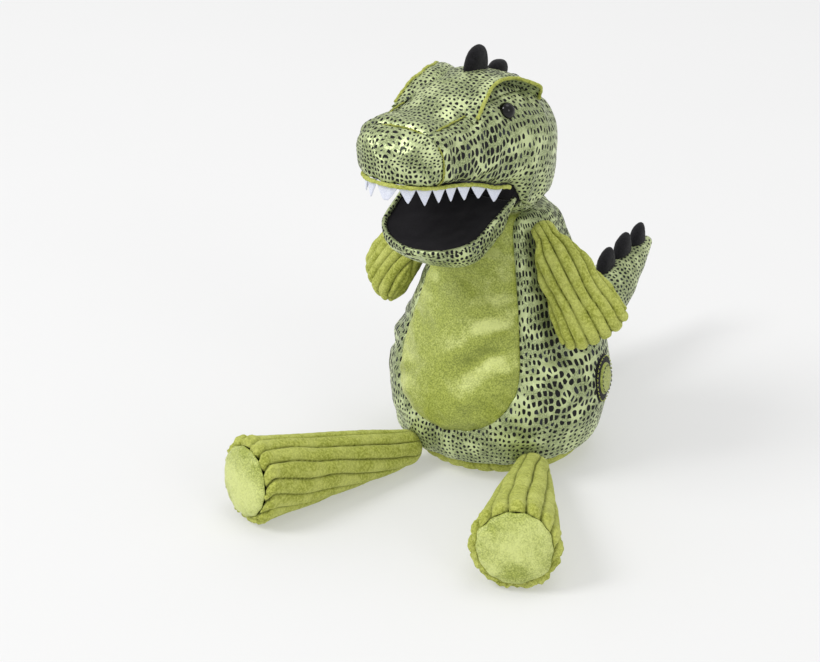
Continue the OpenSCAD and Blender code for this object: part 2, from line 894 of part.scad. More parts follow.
module arm_stuffing_right() {
    arm_fill(-1);
}

// ---- legs ----

hip_share = 0.8;
hip_tuck = 3;
// the hip stands on the bulge of the body at its own height, so it follows the body's radius there
leg_pivot_r = base_r + hip_share * (body_r - base_r) + leg_root_r - hip_tuck;
leg_pivot_z = leg_root_r + 2;
leg_round = 9;
leg_rise = asin((foot_r + clear - leg_pivot_z) / (leg_len - leg_round));

// Outline of a leg from its root to its sole as [radius, distance], moved in by inset
function leg_path(inset) = concat(
    [for (a = [-90 : 15 : -15]) [(leg_root_r - inset) * cos(a), (leg_root_r - inset) * sin(a)]],
    [for (i = [0 : 6]) let (f = i / 6)
        [leg_root_r - inset + (foot_r - leg_root_r) * pow(f, 0.9), f * (leg_len - leg_round)]],
    [for (a = [30 : 30 : 90])
        [foot_r - leg_round + (leg_round - inset) * cos(a), leg_len - leg_round + (leg_round - inset) * sin(a)]]);

module leg_place(side) {
    at = side > 0 ? left_leg_at : -right_leg_at;
    splay = side > 0 ? left_leg_splay : -right_leg_splay;
    rotate([0, 0, at]) translate([0, -leg_pivot_r, leg_pivot_z])
        rotate([0, 0, splay - at]) rotate([90 - leg_rise, 0, 0]) children();
}

module leg_skin(side) {
    color(lime_cord) leg_place(side) rotate_extrude($fn = round_fn)
        polygon(concat(leg_path(0), [[sole_r, leg_len]], [[sole_r, leg_len - skin]], backwards(leg_path(skin))));
}

module leg_fill(side) {
    color(fill_white) leg_place(side) rotate_extrude($fn = round_fn)
        polygon(concat(leg_path(skin + fill_gap), [[0, leg_len - skin - fill_gap]]));
}

module sole(side) {
    color(lime_velour) leg_place(side) translate([0, 0, leg_len]) rotate_extrude($fn = round_fn)
        polygon(concat(
            [[0, 0.1], [sole_r - 0.3, 0.1]],
            [for (a = [30 : 15 : 90]) [(sole_r - 0.3) * cos(a - 0), 0.1 + sole_bulge * sin(a)]]));
}

module leg_left() {
    leg_skin(1);
}

module leg_right() {
    leg_skin(-1);
}

module leg_stuffing_left() {
    leg_fill(1);
}

module leg_stuffing_right() {
    leg_fill(-1);
}

module sole_left() {
    sole(1);
}

module sole_right() {
    sole(-1);
}

// ---- tail ----

tail_pivot_y = body_r + tail_root_r + 0.6;

// Outline of the tail from its root to its tip as [radius, distance], moved in by inset
function tail_path(inset) = concat(
    [for (a = [-90 : 15 : -15]) [(tail_root_r - inset) * cos(a), (tail_root_r - inset) * sin(a)]],
    [for (i = [0 : 9]) let (f = i / 9) [
        (tail_root_r - 3) * pow(cos(80 * f), 0.8) + 3 * cos(90 * f * f) - inset * (1 - 0.6 * f),
        f * (tail_len - 4)]]);

module tail_place() {
    translate([0, tail_pivot_y, tail_z]) rotate([tail_rise - 90, 0, 0]) children();
}

module tail_side(side) {
    outer = tail_path(0);
    inner = tail_path(skin);
    color(print_cloth) tail_place() intersection() {
        rotate_extrude($fn = round_fn) polygon(concat(outer, [[0, tail_len]], [[0, tail_len - 8]], backwards(inner)));
        translate([side > 0 ? 0 : -big, -big / 2, -big / 2]) cube([big, big, big]);
    }
}

module tail_left() {
    tail_side(1);
}

module tail_right() {
    tail_side(-1);
}

module tail_stuffing() {
    color(fill_white) tail_place() rotate_extrude($fn = round_fn)
        polygon(concat(tail_path(skin + fill_gap), [[0, tail_len - 8 - fill_gap]]));
}

// Rows of [share of the tail's length, base length, height, lean]
tail_spike_rows = [
    [0.50, 21, 16, 4],
    [0.70, 21, 17, 4],
    [0.88, 18, 17, 4]
];

module tail_spikes() {
    path = tail_path(0);
    root_points = 6;
    function radius_at(f) =
        let (s = f * tail_len / (tail_len - 4) * 9, i = root_points + floor(s))
        path[i][0] + (path[i + 1][0] - path[i][0]) * (s - floor(s));
    color(black_felt) tail_place() for (row = tail_spike_rows) {
        r = radius_at(row[0]);
        r_next = radius_at(row[0] + 0.02);
        taper = atan((r - r_next) / (0.02 * tail_len));
        translate([0, -r - 0.6, row[0] * tail_len]) rotate([90 - taper, 0, 0]) spike(row[1], row[2], row[3]);
    }
}

body_side_left();
body_side_right();
belly_panel();
base_panel();
body_stuffing();
bean_bag();
hip_patch();
care_label();
pocket_pouch();
zip_tape_left();
zip_tape_right();
zip_teeth();
zip_slider();
zip_pull();
neck_ball();
nose_panel();
crown_panel();
cheek_left();
cheek_right();
head_base();
palate_lining();
head_stuffing();
lip_trim();
upper_teeth();
brow_left();
brow_right();
eye_left();
eye_right();
washer_left();
washer_right();
nostril_left();
nostril_right();
crown_spikes();
jaw_skin();
jaw_lining();
jaw_stuffing();
arm_left();
arm_right();
arm_stuffing_left();
arm_stuffing_right();
leg_left();
leg_right();
leg_stuffing_left();
leg_stuffing_right();
sole_left();
sole_right();
tail_left();
tail_right();
tail_stuffing();
tail_spikes();
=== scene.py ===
import json
import math

import bpy
import numpy as np
from mathutils import Matrix, Vector

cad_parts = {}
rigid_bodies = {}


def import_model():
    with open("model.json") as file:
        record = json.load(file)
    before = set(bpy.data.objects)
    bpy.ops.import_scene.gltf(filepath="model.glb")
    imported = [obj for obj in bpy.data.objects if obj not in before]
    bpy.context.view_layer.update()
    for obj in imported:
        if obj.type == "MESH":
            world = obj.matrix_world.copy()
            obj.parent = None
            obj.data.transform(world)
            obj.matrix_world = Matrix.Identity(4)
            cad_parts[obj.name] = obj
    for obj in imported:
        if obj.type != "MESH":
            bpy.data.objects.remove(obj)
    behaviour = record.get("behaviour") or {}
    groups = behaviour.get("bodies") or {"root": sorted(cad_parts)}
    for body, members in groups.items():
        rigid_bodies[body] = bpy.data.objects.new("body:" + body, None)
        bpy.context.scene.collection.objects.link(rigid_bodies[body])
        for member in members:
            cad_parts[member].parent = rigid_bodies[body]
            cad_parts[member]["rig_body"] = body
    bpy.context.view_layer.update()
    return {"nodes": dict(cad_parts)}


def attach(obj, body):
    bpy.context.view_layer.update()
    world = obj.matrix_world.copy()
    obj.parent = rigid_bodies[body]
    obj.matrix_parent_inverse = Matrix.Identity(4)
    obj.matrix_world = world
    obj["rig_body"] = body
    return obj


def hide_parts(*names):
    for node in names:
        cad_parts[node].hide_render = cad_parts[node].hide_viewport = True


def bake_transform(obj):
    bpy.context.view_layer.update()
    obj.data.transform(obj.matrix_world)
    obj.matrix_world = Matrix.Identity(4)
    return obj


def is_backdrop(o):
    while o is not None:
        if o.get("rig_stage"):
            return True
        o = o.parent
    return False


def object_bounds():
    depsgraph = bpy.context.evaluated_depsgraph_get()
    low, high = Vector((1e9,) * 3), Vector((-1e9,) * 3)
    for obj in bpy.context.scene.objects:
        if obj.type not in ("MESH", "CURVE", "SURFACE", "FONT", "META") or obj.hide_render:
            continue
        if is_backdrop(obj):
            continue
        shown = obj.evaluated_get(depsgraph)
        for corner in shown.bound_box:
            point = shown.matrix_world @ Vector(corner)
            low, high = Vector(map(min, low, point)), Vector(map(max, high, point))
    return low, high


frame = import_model()
nodes = frame["nodes"]

MM = 0.001
cloth_step, sim_step = 1.3, 4.5  # mm between the points of the printed pieces and of the simulated grids
sim_frames = 20
base_rib, leg_rib, arm_ribs = 11.5, 12.2, 7  # width of a rib in mm, and how many cross an arm
SIDES = ((1, "left"), (-1, "right"))

# ---------------------------------------------------------------- sizes, mm and degrees, as in the CAD

body_r, belly_z, base_r, base_seam_z = 80, 60, 50, 12
back_low_r, back_low_z, back_high_r, back_high_z, body_top = 75, 92, 47, 168, 196
belly_half_w, belly_low_z, belly_neck_half_w = 51, 42, 24
patch_at, patch_z, patch_d = 10, 68, 36
neck_ball_r, neck_z = 20, 197
nose_y, nape_y, muzzle_w, cheek_w, crown_z = -150, 28, 36, 50, 303
nose_seam_y, mouth_y, mouth_z, lip_z, head_low = -132, -54, 226, 251, 204
eye_y, eye_at, brow_h = -61, 39, 9
tooth_count, tooth_len, tooth_min, felt = 15, 9.5, 5, 1.2
jaw_len, jaw_w, jaw_deep, jaw_drop = 74, 43, 32, 24
arm_len, arm_root_r, arm_half_w, arm_half_t = 85, 8.5, 29, 16
arm_pivot, arm_out, arm_roll, arm_round = (48, -20, 185), 35, 38, 13
leg_len, leg_root_r, foot_r, sole_r, sole_bulge, leg_round = 140, 14, 31, 25, 6, 9
leg_at = {1: 48, -1: -24}
leg_splay = {1: 26, -1: -20}
hip_share, hip_tuck = 0.8, 3
leg_rise = math.degrees(math.asin((foot_r + 0.4 - leg_root_r - 2) / (leg_len - leg_round)))
tail_len, tail_root_r, tail_z, tail_rise = 138, 25, 46, 17
spike_t = 7
zip_len, tape_w = 74, 10

# ---------------------------------------------------------------- curves


def smooth(rows, t):
    """Smooth curve through rows of [t, values...], at every value of t."""
    rows = np.array(rows, float)
    t = np.asarray(t, float)
    x = rows[:, 0]
    n = len(x)
    lower, upper = np.maximum(np.arange(n) - 1, 0), np.minimum(np.arange(n) + 1, n - 1)
    slopes = (rows[upper] - rows[lower]) / (x[upper] - x[lower])[:, None]
    i = np.clip(np.searchsorted(x, t, side="left") - 1, 0, n - 2)
    step = (x[i + 1] - x[i])[..., None]
    f = (t - x[i])[..., None] / step
    return (
        (2 * f**3 - 3 * f**2 + 1) * rows[i] + (f**3 - 2 * f**2 + f) * step * slopes[i]
        + (3 * f**2 - 2 * f**3) * rows[i + 1] + (f**3 - f**2) * step * slopes[i + 1]
    )


def end_round(d, r):
    return np.sqrt(np.clip(1 - (1 - np.clip(np.asarray(d, float) / r, 0, 1)) ** 2, 0, 1))


def spow(v, p):
    return np.sign(v) * np.abs(v) ** p


def cosd(v):
    return np.cos(np.radians(v))


def sind(v):
    return np.sin(np.radians(v))


def stack(*values):
    """Puts coordinates that spread over one another into the last axis."""
    return np.stack(np.broadcast_arrays(*values), -1)


def full_turn(count):
    """Even angles round a ring, as one row."""
    return np.linspace(0, 360, count + 1)[:-1][None]


def run(line):
    """Length along a line of points, at each of them."""
    return np.concatenate([[0], np.cumsum(np.linalg.norm(np.diff(line, axis=0), axis=1))])


def ease(x, low, high):
    x = np.clip((x - low) / (high - low), 0, 1)
    return x * x * (3 - 2 * x)


def noise(points, size, seed=0):
    """Value noise from -1 to 1 with lumps of about the given size in mm."""
    p = np.asarray(points, float) / size
    i = np.floor(p).astype(np.int64)
    f = p - i
    f = f * f * (3 - 2 * f)
    total = 0
    for corner in range(8):
        o = np.array([corner & 1, corner >> 1 & 1, corner >> 2 & 1])
        w = np.prod(np.where(o == 1, f, 1 - f), axis=-1)
        c = i + o
        n = (c[..., 0] * 374761393 + c[..., 1] * 668265263 + c[..., 2] * 1440670441 + seed * 1274126177) & 0xFFFFFFFF
        n = ((n ^ (n >> 13)) * 1274126177) & 0xFFFFFFFF
        total = total + w * (((n ^ (n >> 16)) & 0xFFFF) / 32767.5 - 1)
    return total


def shake(points, size, seed):
    """Noise along each of the three axes."""
    return np.stack([noise(points, size, seed + axis) for axis in range(3)], -1)


def even(points, values, step):
    """The values at which a polyline through points has even steps of about the given length."""
    length = run(points)
    count = max(2, int(round(length[-1] / step)) + 1)
    return np.interp(np.linspace(0, length[-1], count), length, values)


def new_object(name, data):
    obj = bpy.data.objects.new(name, data)
    bpy.context.scene.collection.objects.link(obj)
    return obj


def placed(matrix, points):
    m = np.array(matrix)
    return points @ m[:3, :3].T + m[:3, 3]


def turn(axis, degrees):
    return Matrix.Rotation(math.radians(degrees), 4, axis)


def shift(x, y, z):
    return Matrix.Translation((x, y, z))


# ---------------------------------------------------------------- shapes, mm

bulb_rows = [
    [0, base_r, 0],
    [1, base_r + 0.42 * (body_r - base_r), 0.12 * belly_z],
    [2, base_r + 0.78 * (body_r - base_r), 0.42 * belly_z],
    [3, body_r, belly_z],
    [4, back_low_r, back_low_z],
]
shoulder_rows = [
    [0, back_high_r, back_high_z],
    [1, back_high_r - 6.5, back_high_z + 0.6 * (body_top - back_high_z)],
    [2, back_high_r - 13, body_top - 2.6],
    [3, neck_ball_r + 6, body_top],
]
pear = np.concatenate([smooth(bulb_rows, np.linspace(0, 4, 60))[:, 1:],
                       smooth(shoulder_rows, np.linspace(0, 3, 40))[:, 1:]])
belly_rows = [
    [belly_low_z, 0],
    [belly_low_z + 5, 0.52 * belly_half_w],
    [belly_low_z + 20, 0.88 * belly_half_w],
    [belly_low_z + 42, belly_half_w],
    [belly_low_z + 80, 0.86 * belly_half_w],
    [body_top + 1, belly_neck_half_w],
]


def body_radius(z):
    return np.interp(z, pear[:, 1], pear[:, 0])


pear_len = run(pear)


def arc_at(z):
    """Length up the body's outline to the height z."""
    return np.interp(z, pear[:, 1], pear_len)


def pear_arc(length):
    """Height reached after a length up the body's outline."""
    return np.interp(length, pear_len, pear[:, 1])


def belly_x(z):
    z = np.asarray(z, float)
    low = 0.52 * belly_half_w * np.sqrt(np.clip((z - belly_low_z) / 5, 0, 1))
    return np.where(z < belly_low_z + 5, low, smooth(belly_rows, np.maximum(z, belly_low_z))[..., 1])


def body_point(angle, z):
    """Angle from the front towards the left side."""
    angle, z = np.broadcast_arrays(np.asarray(angle, float), np.asarray(z, float))
    r = body_radius(z)
    return stack(r * sind(angle), -r * cosd(angle), z)


head_rows = [
    [nose_y, muzzle_w - 1, crown_z - 16, lip_z + 17, lip_z + 1],
    [nose_y + 28, muzzle_w + 1, crown_z - 12, lip_z + 15, lip_z - 3],
    [nose_y + 56, muzzle_w + 5, crown_z - 8, lip_z + 10, lip_z - 10],
    [mouth_y - 20, cheek_w - 5, crown_z - 2, lip_z + 5, mouth_z + 7],
    [mouth_y, cheek_w - 2, crown_z, lip_z, mouth_z],
    [mouth_y + 12, cheek_w, crown_z, lip_z - 2, head_low + 2],
    [-14, cheek_w, crown_z - 5, lip_z - 4, head_low],
    [nape_y, cheek_w - 2, crown_z - 10, lip_z - 6, head_low + 2],
]
head_len = nape_y - nose_y


def head_t(y):
    return (y - nose_y) / head_len


def head_point(t, v, inset=0.0):
    t, v = np.broadcast_arrays(np.asarray(t, float), np.asarray(v, float))
    y = nose_y + head_len * t
    r = smooth(head_rows, y)
    f = end_round(y - nose_y, 26) * end_round(nape_y - y, 60)
    half = (r[..., 1] - inset) * f
    up = (r[..., 2] - r[..., 3] - inset) * f
    down = (r[..., 3] - r[..., 4] - inset) * end_round(nape_y - y, 34)
    s, c = sind(v), cosd(v)
    x = half * spow(c, np.where(s > 0, 2 / 2.3, 0.5))
    z = r[..., 3] + np.where(s > 0, up * spow(s, 2 / 2.3), down * spow(s, 0.5))
    return stack(x, nose_y + inset + (head_len - 2 * inset) * t, z)


def head_frame(y, v, side):
    """Place and axes on the head's surface, z pointing out of it."""
    t = head_t(y)
    p = head_point(t, v)
    along = head_point(head_t(y + 1), v) - head_point(head_t(y - 1), v)
    across = head_point(t, v + 1) - head_point(t, v - 1)
    n = np.cross(along, across)
    n /= np.linalg.norm(n)
    a = along / np.linalg.norm(along)
    b = np.cross(n, a)
    m = np.eye(4)
    m[:3, 0], m[:3, 1], m[:3, 2], m[:3, 3] = a, b, n, p
    return np.diag([side, 1, 1, 1]) @ m


jaw_rows = [
    [4, jaw_w, 0.42 * jaw_deep],
    [16, jaw_w - 0.5, 0.82 * jaw_deep],
    [34, jaw_w - 2, jaw_deep],
    [jaw_len, jaw_w - 5, 0.86 * jaw_deep],
]
jaw_place = shift(0, mouth_y + 4, mouth_z - 1) @ turn("X", jaw_drop)


def jaw_point(t, v, inset=0.0):
    """v from 0 to 180 is the floor of the mouth."""
    t, v = np.broadcast_arrays(np.asarray(t, float), np.asarray(v, float))
    d = 4 + (jaw_len - 4) * t
    r = smooth(jaw_rows, d)
    f = end_round(jaw_len - d, 28)
    s, c = sind(v), cosd(v)
    half = (r[..., 1] - inset) * f
    deep = r[..., 2] * (0.35 + 0.65 * f) - inset
    x = half * spow(c, np.where(s > 0, 1, 2 / 2.4))
    z = np.where(s > 0, -inset - 2.5 * f * s, -inset - deep * f * np.abs(s) ** (2 / 2.4))
    return placed(jaw_place, stack(x, -(4 + inset + (jaw_len - 4 - 2 * inset) * t), z))


arm_rows = [
    [0, arm_root_r + 1.5, arm_root_r],
    [0.2 * arm_len, 0.60 * arm_half_w, 0.68 * arm_half_t],
    [0.6 * arm_len, 0.86 * arm_half_w, 0.92 * arm_half_t],
    [arm_len, arm_half_w, arm_half_t],
]


def arm_place(side):
    return Matrix.Diagonal((side, 1, 1, 1)) @ shift(*arm_pivot) @ turn("Y", -arm_out) @ turn("Z", arm_roll)


def arm_sizes(d, root):
    """Half width, half thickness and rounding of the ends; the sewn end reaches root mm past its rounded end."""
    r = smooth(arm_rows, np.maximum(0, d))
    return r[..., 1], r[..., 2], end_round(arm_len - d, arm_round) * end_round(d + arm_root_r + root, arm_root_r)


def arm_point(d, v, side, root=0.0):
    d, v = np.broadcast_arrays(np.asarray(d, float), np.asarray(v, float))
    wide, thick, f = arm_sizes(d, root)
    thick = thick * (1 - 0.25 * ease(-d, -4, root + 1))
    return placed(arm_place(side), stack(wide * f * cosd(v), thick * f * sind(v), -d))


def leg_place(side):
    at, splay = leg_at[side], leg_splay[side]
    pivot_r = base_r + hip_share * (body_r - base_r) + leg_root_r - hip_tuck
    return (turn("Z", at) @ shift(0, -pivot_r, leg_root_r + 2)
            @ turn("Z", splay - at) @ turn("X", 90 - leg_rise))


def leg_outline():
    a = np.radians(np.linspace(-90, 0, 24))
    root = stack(leg_root_r * np.cos(a), leg_root_r * np.sin(a))
    f = np.linspace(0.01, 1, 60)
    side = stack(leg_root_r + (foot_r - leg_root_r) * f**0.9, f * (leg_len - leg_round))
    a = np.radians(np.linspace(6, 62, 12))
    foot = stack(foot_r - leg_round + leg_round * np.cos(a), leg_len - leg_round + leg_round * np.sin(a))
    return np.concatenate([root, side, foot])


def tail_outline():
    a = np.radians(np.linspace(-90, 0, 30))
    root = stack(tail_root_r * np.cos(a), tail_root_r * np.sin(a))
    f = np.linspace(0.01, 1, 80)
    side = stack((tail_root_r - 3) * cosd(80 * f) ** 0.8 + 3 * cosd(90 * f * f), f * (tail_len - 4))
    a = np.radians(np.linspace(15, 90, 8))
    return np.concatenate([root, side, stack(side[-1, 0] * np.cos(a), tail_len - 4 + 4 * np.sin(a))])


tail_place = shift(0, body_r + tail_root_r + 0.6, tail_z) @ turn("X", tail_rise - 90)


def turned(outline, matrix):
    """Surface of revolution round the local z axis: v is the angle from +X, k the place along the outline."""
    place = np.arange(len(outline))

    def point(k, v):
        k, v = np.broadcast_arrays(np.asarray(k, float), np.asarray(v, float))
        r, d = np.interp(k, place, outline[:, 0]), np.interp(k, place, outline[:, 1])
        return placed(matrix, stack(r * cosd(v), r * sind(v), d))

    return point


# ---------------------------------------------------------------- cloth simulation of the stuffed parts


class Field:
    """How far the stuffing pushed the fabric of one part, over a coarse grid that closes round itself."""

    def __init__(self, name, point, along, around, pinned, cap):
        self.along, self.around, self.cap = along, around, cap
        a, v = np.meshgrid(along, around, indexing="ij")
        self.rest = point(a, v)
        self.pinned = pinned(a, v, self.rest)
        self.move = np.zeros_like(self.rest)
        self.name = name

    def mesh(self):
        m, n = self.rest.shape[:2]
        verts = np.concatenate([self.rest.reshape(-1, 3), [self.rest[0].mean(0)], [self.rest[-1].mean(0)]])
        i, j = np.meshgrid(np.arange(m - 1), np.arange(n), indexing="ij")
        a, b = i * n + j, i * n + (j + 1) % n
        faces = stack(a, b, b + n, a + n).reshape(-1, 4).tolist()
        faces += [[m * n, (q + 1) % n, q] for q in range(n)]
        faces += [[m * n + 1, (m - 1) * n + q, (m - 1) * n + (q + 1) % n] for q in range(n)]
        data = bpy.data.meshes.new("sim_" + self.name)
        data.from_pydata((verts * MM).tolist(), [], faces)
        self.obj = new_object("sim_" + self.name, data)
        inside = verts.mean(0)
        outward = sum(p.area * (np.array(p.normal) @ (np.array(p.center) / MM - inside)) for p in data.polygons)
        if outward < 0:
            data.flip_normals()
        group = self.obj.vertex_groups.new(name="pin")
        for index, w in enumerate(self.pinned.ravel()):
            group.add([index], float(w), "REPLACE")
        group.add([m * n, m * n + 1], 1.0, "REPLACE")
        cloth = self.obj.modifiers.new("cloth", "CLOTH")
        s = cloth.settings
        s.quality, s.mass = 6, 0.15
        s.tension_stiffness = s.compression_stiffness = 12
        s.shear_stiffness, s.bending_stiffness = 4, 0.4
        s.vertex_group_mass = "pin"
        s.use_pressure, s.uniform_pressure_force = True, 4
        s.shrink_min = -0.05
        s.effector_weights.gravity = 0
        cloth.collision_settings.use_self_collision = False
        cloth.point_cache.frame_start, cloth.point_cache.frame_end = 1, sim_frames

    def take(self):
        graph = bpy.context.evaluated_depsgraph_get()
        seen = self.obj.evaluated_get(graph)
        co = np.zeros(len(seen.data.vertices) * 3, np.float32)
        seen.data.vertices.foreach_get("co", co)
        count = self.rest.shape[0] * self.rest.shape[1]
        move = co.reshape(-1, 3)[:count].reshape(self.rest.shape).astype(float) / MM - self.rest
        move = np.nan_to_num(move)
        size = np.linalg.norm(move, axis=-1, keepdims=True)
        self.move = move * (self.cap * np.tanh(size / self.cap) / np.maximum(size, 1e-6))
        self.move -= 0.5 * self.move.mean((0, 1))
        data = self.obj.data
        bpy.data.objects.remove(self.obj)
        bpy.data.meshes.remove(data)

    def at(self, along, around):
        """The push at these places, from smooth splines through the grid."""
        step = np.interp(along, self.along, np.arange(len(self.along)))
        first, whole = self.around[0], 360.0
        ring = (np.asarray(around, float) - first) / whole * len(self.around)
        total = 0
        i0, j0 = np.floor(step).astype(int), np.floor(ring).astype(int)
        wi, wj = self.weights(step - i0), self.weights(ring - j0)
        for a in range(4):
            for b in range(4):
                i = np.clip(i0 + a - 1, 0, self.move.shape[0] - 1)
                j = (j0 + b - 1) % self.move.shape[1]
                total = total + (wi[a] * wj[b])[..., None] * self.move[i, j]
        return total

    @staticmethod
    def weights(f):
        return [(1 - f) ** 3 / 6, (3 * f**3 - 6 * f**2 + 4) / 6, (-3 * f**3 + 3 * f**2 + 3 * f + 1) / 6, f**3 / 6]


def near(value, places, width):
    d = np.min([np.abs(value - p) for p in places], axis=0)
    return np.clip(1.25 - d / width, 0, 1)


ring = np.arange(0, 360, 360 / 96)
z_rows = even(pear, pear[:, 1], sim_step)


def body_pins(z, angle, p):
    edge = np.abs(np.abs(p[..., 0]) - belly_x(z)) / 4.0
    front = (p[..., 1] < 0) & (z > belly_low_z - 3)
    pins = np.where(front, np.clip(1.25 - edge, 0, 1), 0)
    back = np.clip(1.25 - np.abs(angle - 180) / 7, 0, 1)
    return np.maximum.reduce([pins, back, near(z, [base_seam_z, 0, body_top], 5)])


body_field = Field("body", lambda z, a: body_point(a, z), z_rows, ring, body_pins, 4.0)
dense = np.linspace(0.0004, 0.9996, 1500)
head_rowed = even(head_point(dense, 70), dense, sim_step)
head_ring = np.arange(0, 360, 360 / 64)
head_field = Field(
    "head", head_point, head_rowed, head_ring,
    lambda t, v, p: np.maximum.reduce([
        near(v, [55, 125], 4), near(v, [225, 315], 5), near(t, [head_t(nose_seam_y)], 0.02),
        np.where((v > 225) & (v < 315), 1, 0)]), 3.0)
jaw_dense = np.linspace(0, 0.9995, 800)
jaw_field = Field(
    "jaw", jaw_point, even(jaw_point(jaw_dense, -60), jaw_dense, sim_step), np.arange(0, 360, 360 / 56),
    lambda t, v, p: np.maximum(near(v, [0, 180, 360], 7), near(t, [0], 0.05)), 2.5)
arm_fields, leg_fields, leg_shapes = {}, {}, {}
leg_line, tail_line = leg_outline(), tail_outline()
for side in (1, -1):
    d_dense = np.concatenate([-arm_root_r + arm_root_r * (1 - np.cos(np.linspace(0.1, 1.5, 60))),
                              np.linspace(0, arm_len - arm_round, 200)[1:],
                              arm_len - arm_round + arm_round * np.sin(np.linspace(0.02, 1.55, 80))])
    arm_rowed = even(arm_point(d_dense, 20, 1), d_dense, sim_step)
    arm_fields[side] = Field(
        "arm", lambda d, v, s=side: arm_point(d, v, s), arm_rowed, np.arange(0, 360, 360 / 32),
        lambda d, v, p: np.maximum(near(v, [0, 180, 360], 8), near(d, [-arm_root_r], 8)), 2.0)
    leg_shapes[side] = turned(leg_line, leg_place(side))
    k = np.arange(len(leg_line))
    leg_fields[side] = Field(
        "leg", leg_shapes[side], even(leg_line, k, sim_step), np.arange(0, 360, 360 / 36),
        lambda q, v, p: np.maximum(near(v, [270], 8), near(q, [0, len(leg_line) - 1], 8)), 2.0)
tail_shape = turned(tail_line, tail_place)
tail_field = Field(
    "tail", tail_shape, even(tail_line, np.arange(len(tail_line)), sim_step), np.arange(0, 360, 360 / 40),
    lambda q, v, p: np.maximum(near(v, [90, 270], 8), near(q, [0, len(tail_line) - 1], 6)), 2.5)

fields = [body_field, head_field, jaw_field, tail_field, *arm_fields.values(), *leg_fields.values()]
for f in fields:
    f.mesh()
scene = bpy.context.scene
scene.frame_start, scene.frame_end = 1, sim_frames
for number in range(1, sim_frames + 1):
    scene.frame_set(number)
for f in fields:
    f.take()
scene.frame_set(1)

# ---------------------------------------------------------------- fabric surfaces


class Surf:
    """A grid of points in mm, rows along and columns across, with its normals and arc lengths."""

    def __init__(self, points, centre, closed=False):
        self.P, self.closed = np.array(points, float), closed
        self.centre = np.array(centre, float)
        self.measure()

    def measure(self):
        P = self.P
        if self.closed:
            wide = np.roll(P, -1, 1) - np.roll(P, 1, 1)
        else:
            wide = np.gradient(P, axis=1)
        n = np.cross(np.gradient(P, axis=0), wide)
        size = np.linalg.norm(n, axis=-1, keepdims=True)
        out = P - self.centre
        out /= np.maximum(np.linalg.norm(out, axis=-1, keepdims=True), 1e-9)
        good = size > 1e-3
        n = np.where(good, n / np.maximum(size, 1e-9), 0)
        self.flip = np.sum(n * out) < 0
        if self.flip:
            n = -n
        self.N = np.where(good, n, out)
        rows, columns = (np.cumsum(np.linalg.norm(np.diff(P, axis=axis), axis=-1), axis) for axis in (0, 1))
        self.U = np.concatenate([np.zeros_like(P[:, :1, 0]), columns], 1)
        self.V = np.concatenate([np.zeros_like(P[:1, :, 0]), rows], 0)

    def push(self, h):
        self.P = self.P + self.N * np.asarray(h)[..., None]

    def edges(self, which):
        """Distance in mm to the nearest of the named edges: s start row, e end row, l first column, r last column."""
        all_ = {"s": self.V, "e": self.V[-1:] - self.V, "l": self.U, "r": self.U[:, -1:] - self.U}
        return np.min([all_[w] for w in which], axis=0)


def build(name, surf, body, cloth, material, hems="", hem=2.2, caps="", replaces=()):
    """Makes the piece: cloth holds two pattern coordinates and one shade for each point, hems are edges turned
    inwards, and caps are ends closed by a fan."""
    P, C, N = surf.P, np.array(cloth, float), surf.N
    for letter, index, axis in (("s", 0, 0), ("e", -1, 0), ("l", 0, 1), ("r", -1, 1)):
        if letter in hems:
            edge = [np.take(values, [index], axis) for values in (P, C, N)]
            edge[0] = edge[0] - edge[2] * hem
            P, C, N = (np.concatenate([values, more] if index else [more, values], axis)
                       for values, more in zip((P, C, N), edge))
    m, n = P.shape[:2]
    verts, shades = P.reshape(-1, 3), C.reshape(-1, 3)
    i, j = np.meshgrid(np.arange(m - 1), np.arange(n if surf.closed else n - 1), indexing="ij")
    a, b = i * n + j, i * n + (j + 1) % n
    order = [b, b + n, a + n, a] if surf.flip else [a + n, b + n, b, a]
    faces = np.stack(order, -1).reshape(-1, 4).tolist()
    for letter, row in (("s", 0), ("e", m - 1)):
        if letter in caps:
            verts = np.concatenate([verts, [P[row].mean(0)]])
            shades = np.concatenate([shades, [C[row].mean(0)]])
            top, base = len(verts) - 1, row * n
            fan = [[top, base + q, base + (q + 1) % n] for q in range(n if surf.closed else n - 1)]
            faces += [f[::-1] for f in fan] if (letter == "s") == bool(surf.flip) else fan
    return finish_piece(name, (verts, faces, shades), body, material, replaces)


def finish_piece(name, shape, body, material, replaces=()):
    """Makes a piece of (points, faces, shades) that rides on a body and carries its material."""
    verts, faces, shades = shape
    data = bpy.data.meshes.new(name)
    data.from_pydata((np.asarray(verts) * MM).tolist(), [], faces)
    data.validate()
    layer = data.attributes.new("cloth", "FLOAT_VECTOR", "POINT")
    layer.data.foreach_set("vector", np.asarray(shades, np.float32).ravel())
    data.polygons.foreach_set("use_smooth", [True] * len(data.polygons))
    data.materials.append(material)
    data.update()
    obj = new_object(name, data)
    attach(obj, body)
    if replaces:
        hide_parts(*replaces)
    return obj


def join(parts):
    """One list of points, faces and shades from several (points, faces, shades)."""
    verts, faces, shades, base = [], [], [], 0
    for v, f, s in parts:
        verts.append(v)
        shades.append(s)
        faces += [[q + base for q in face] for face in f]
        base += len(v)
    return np.concatenate(verts), faces, np.concatenate(shades)


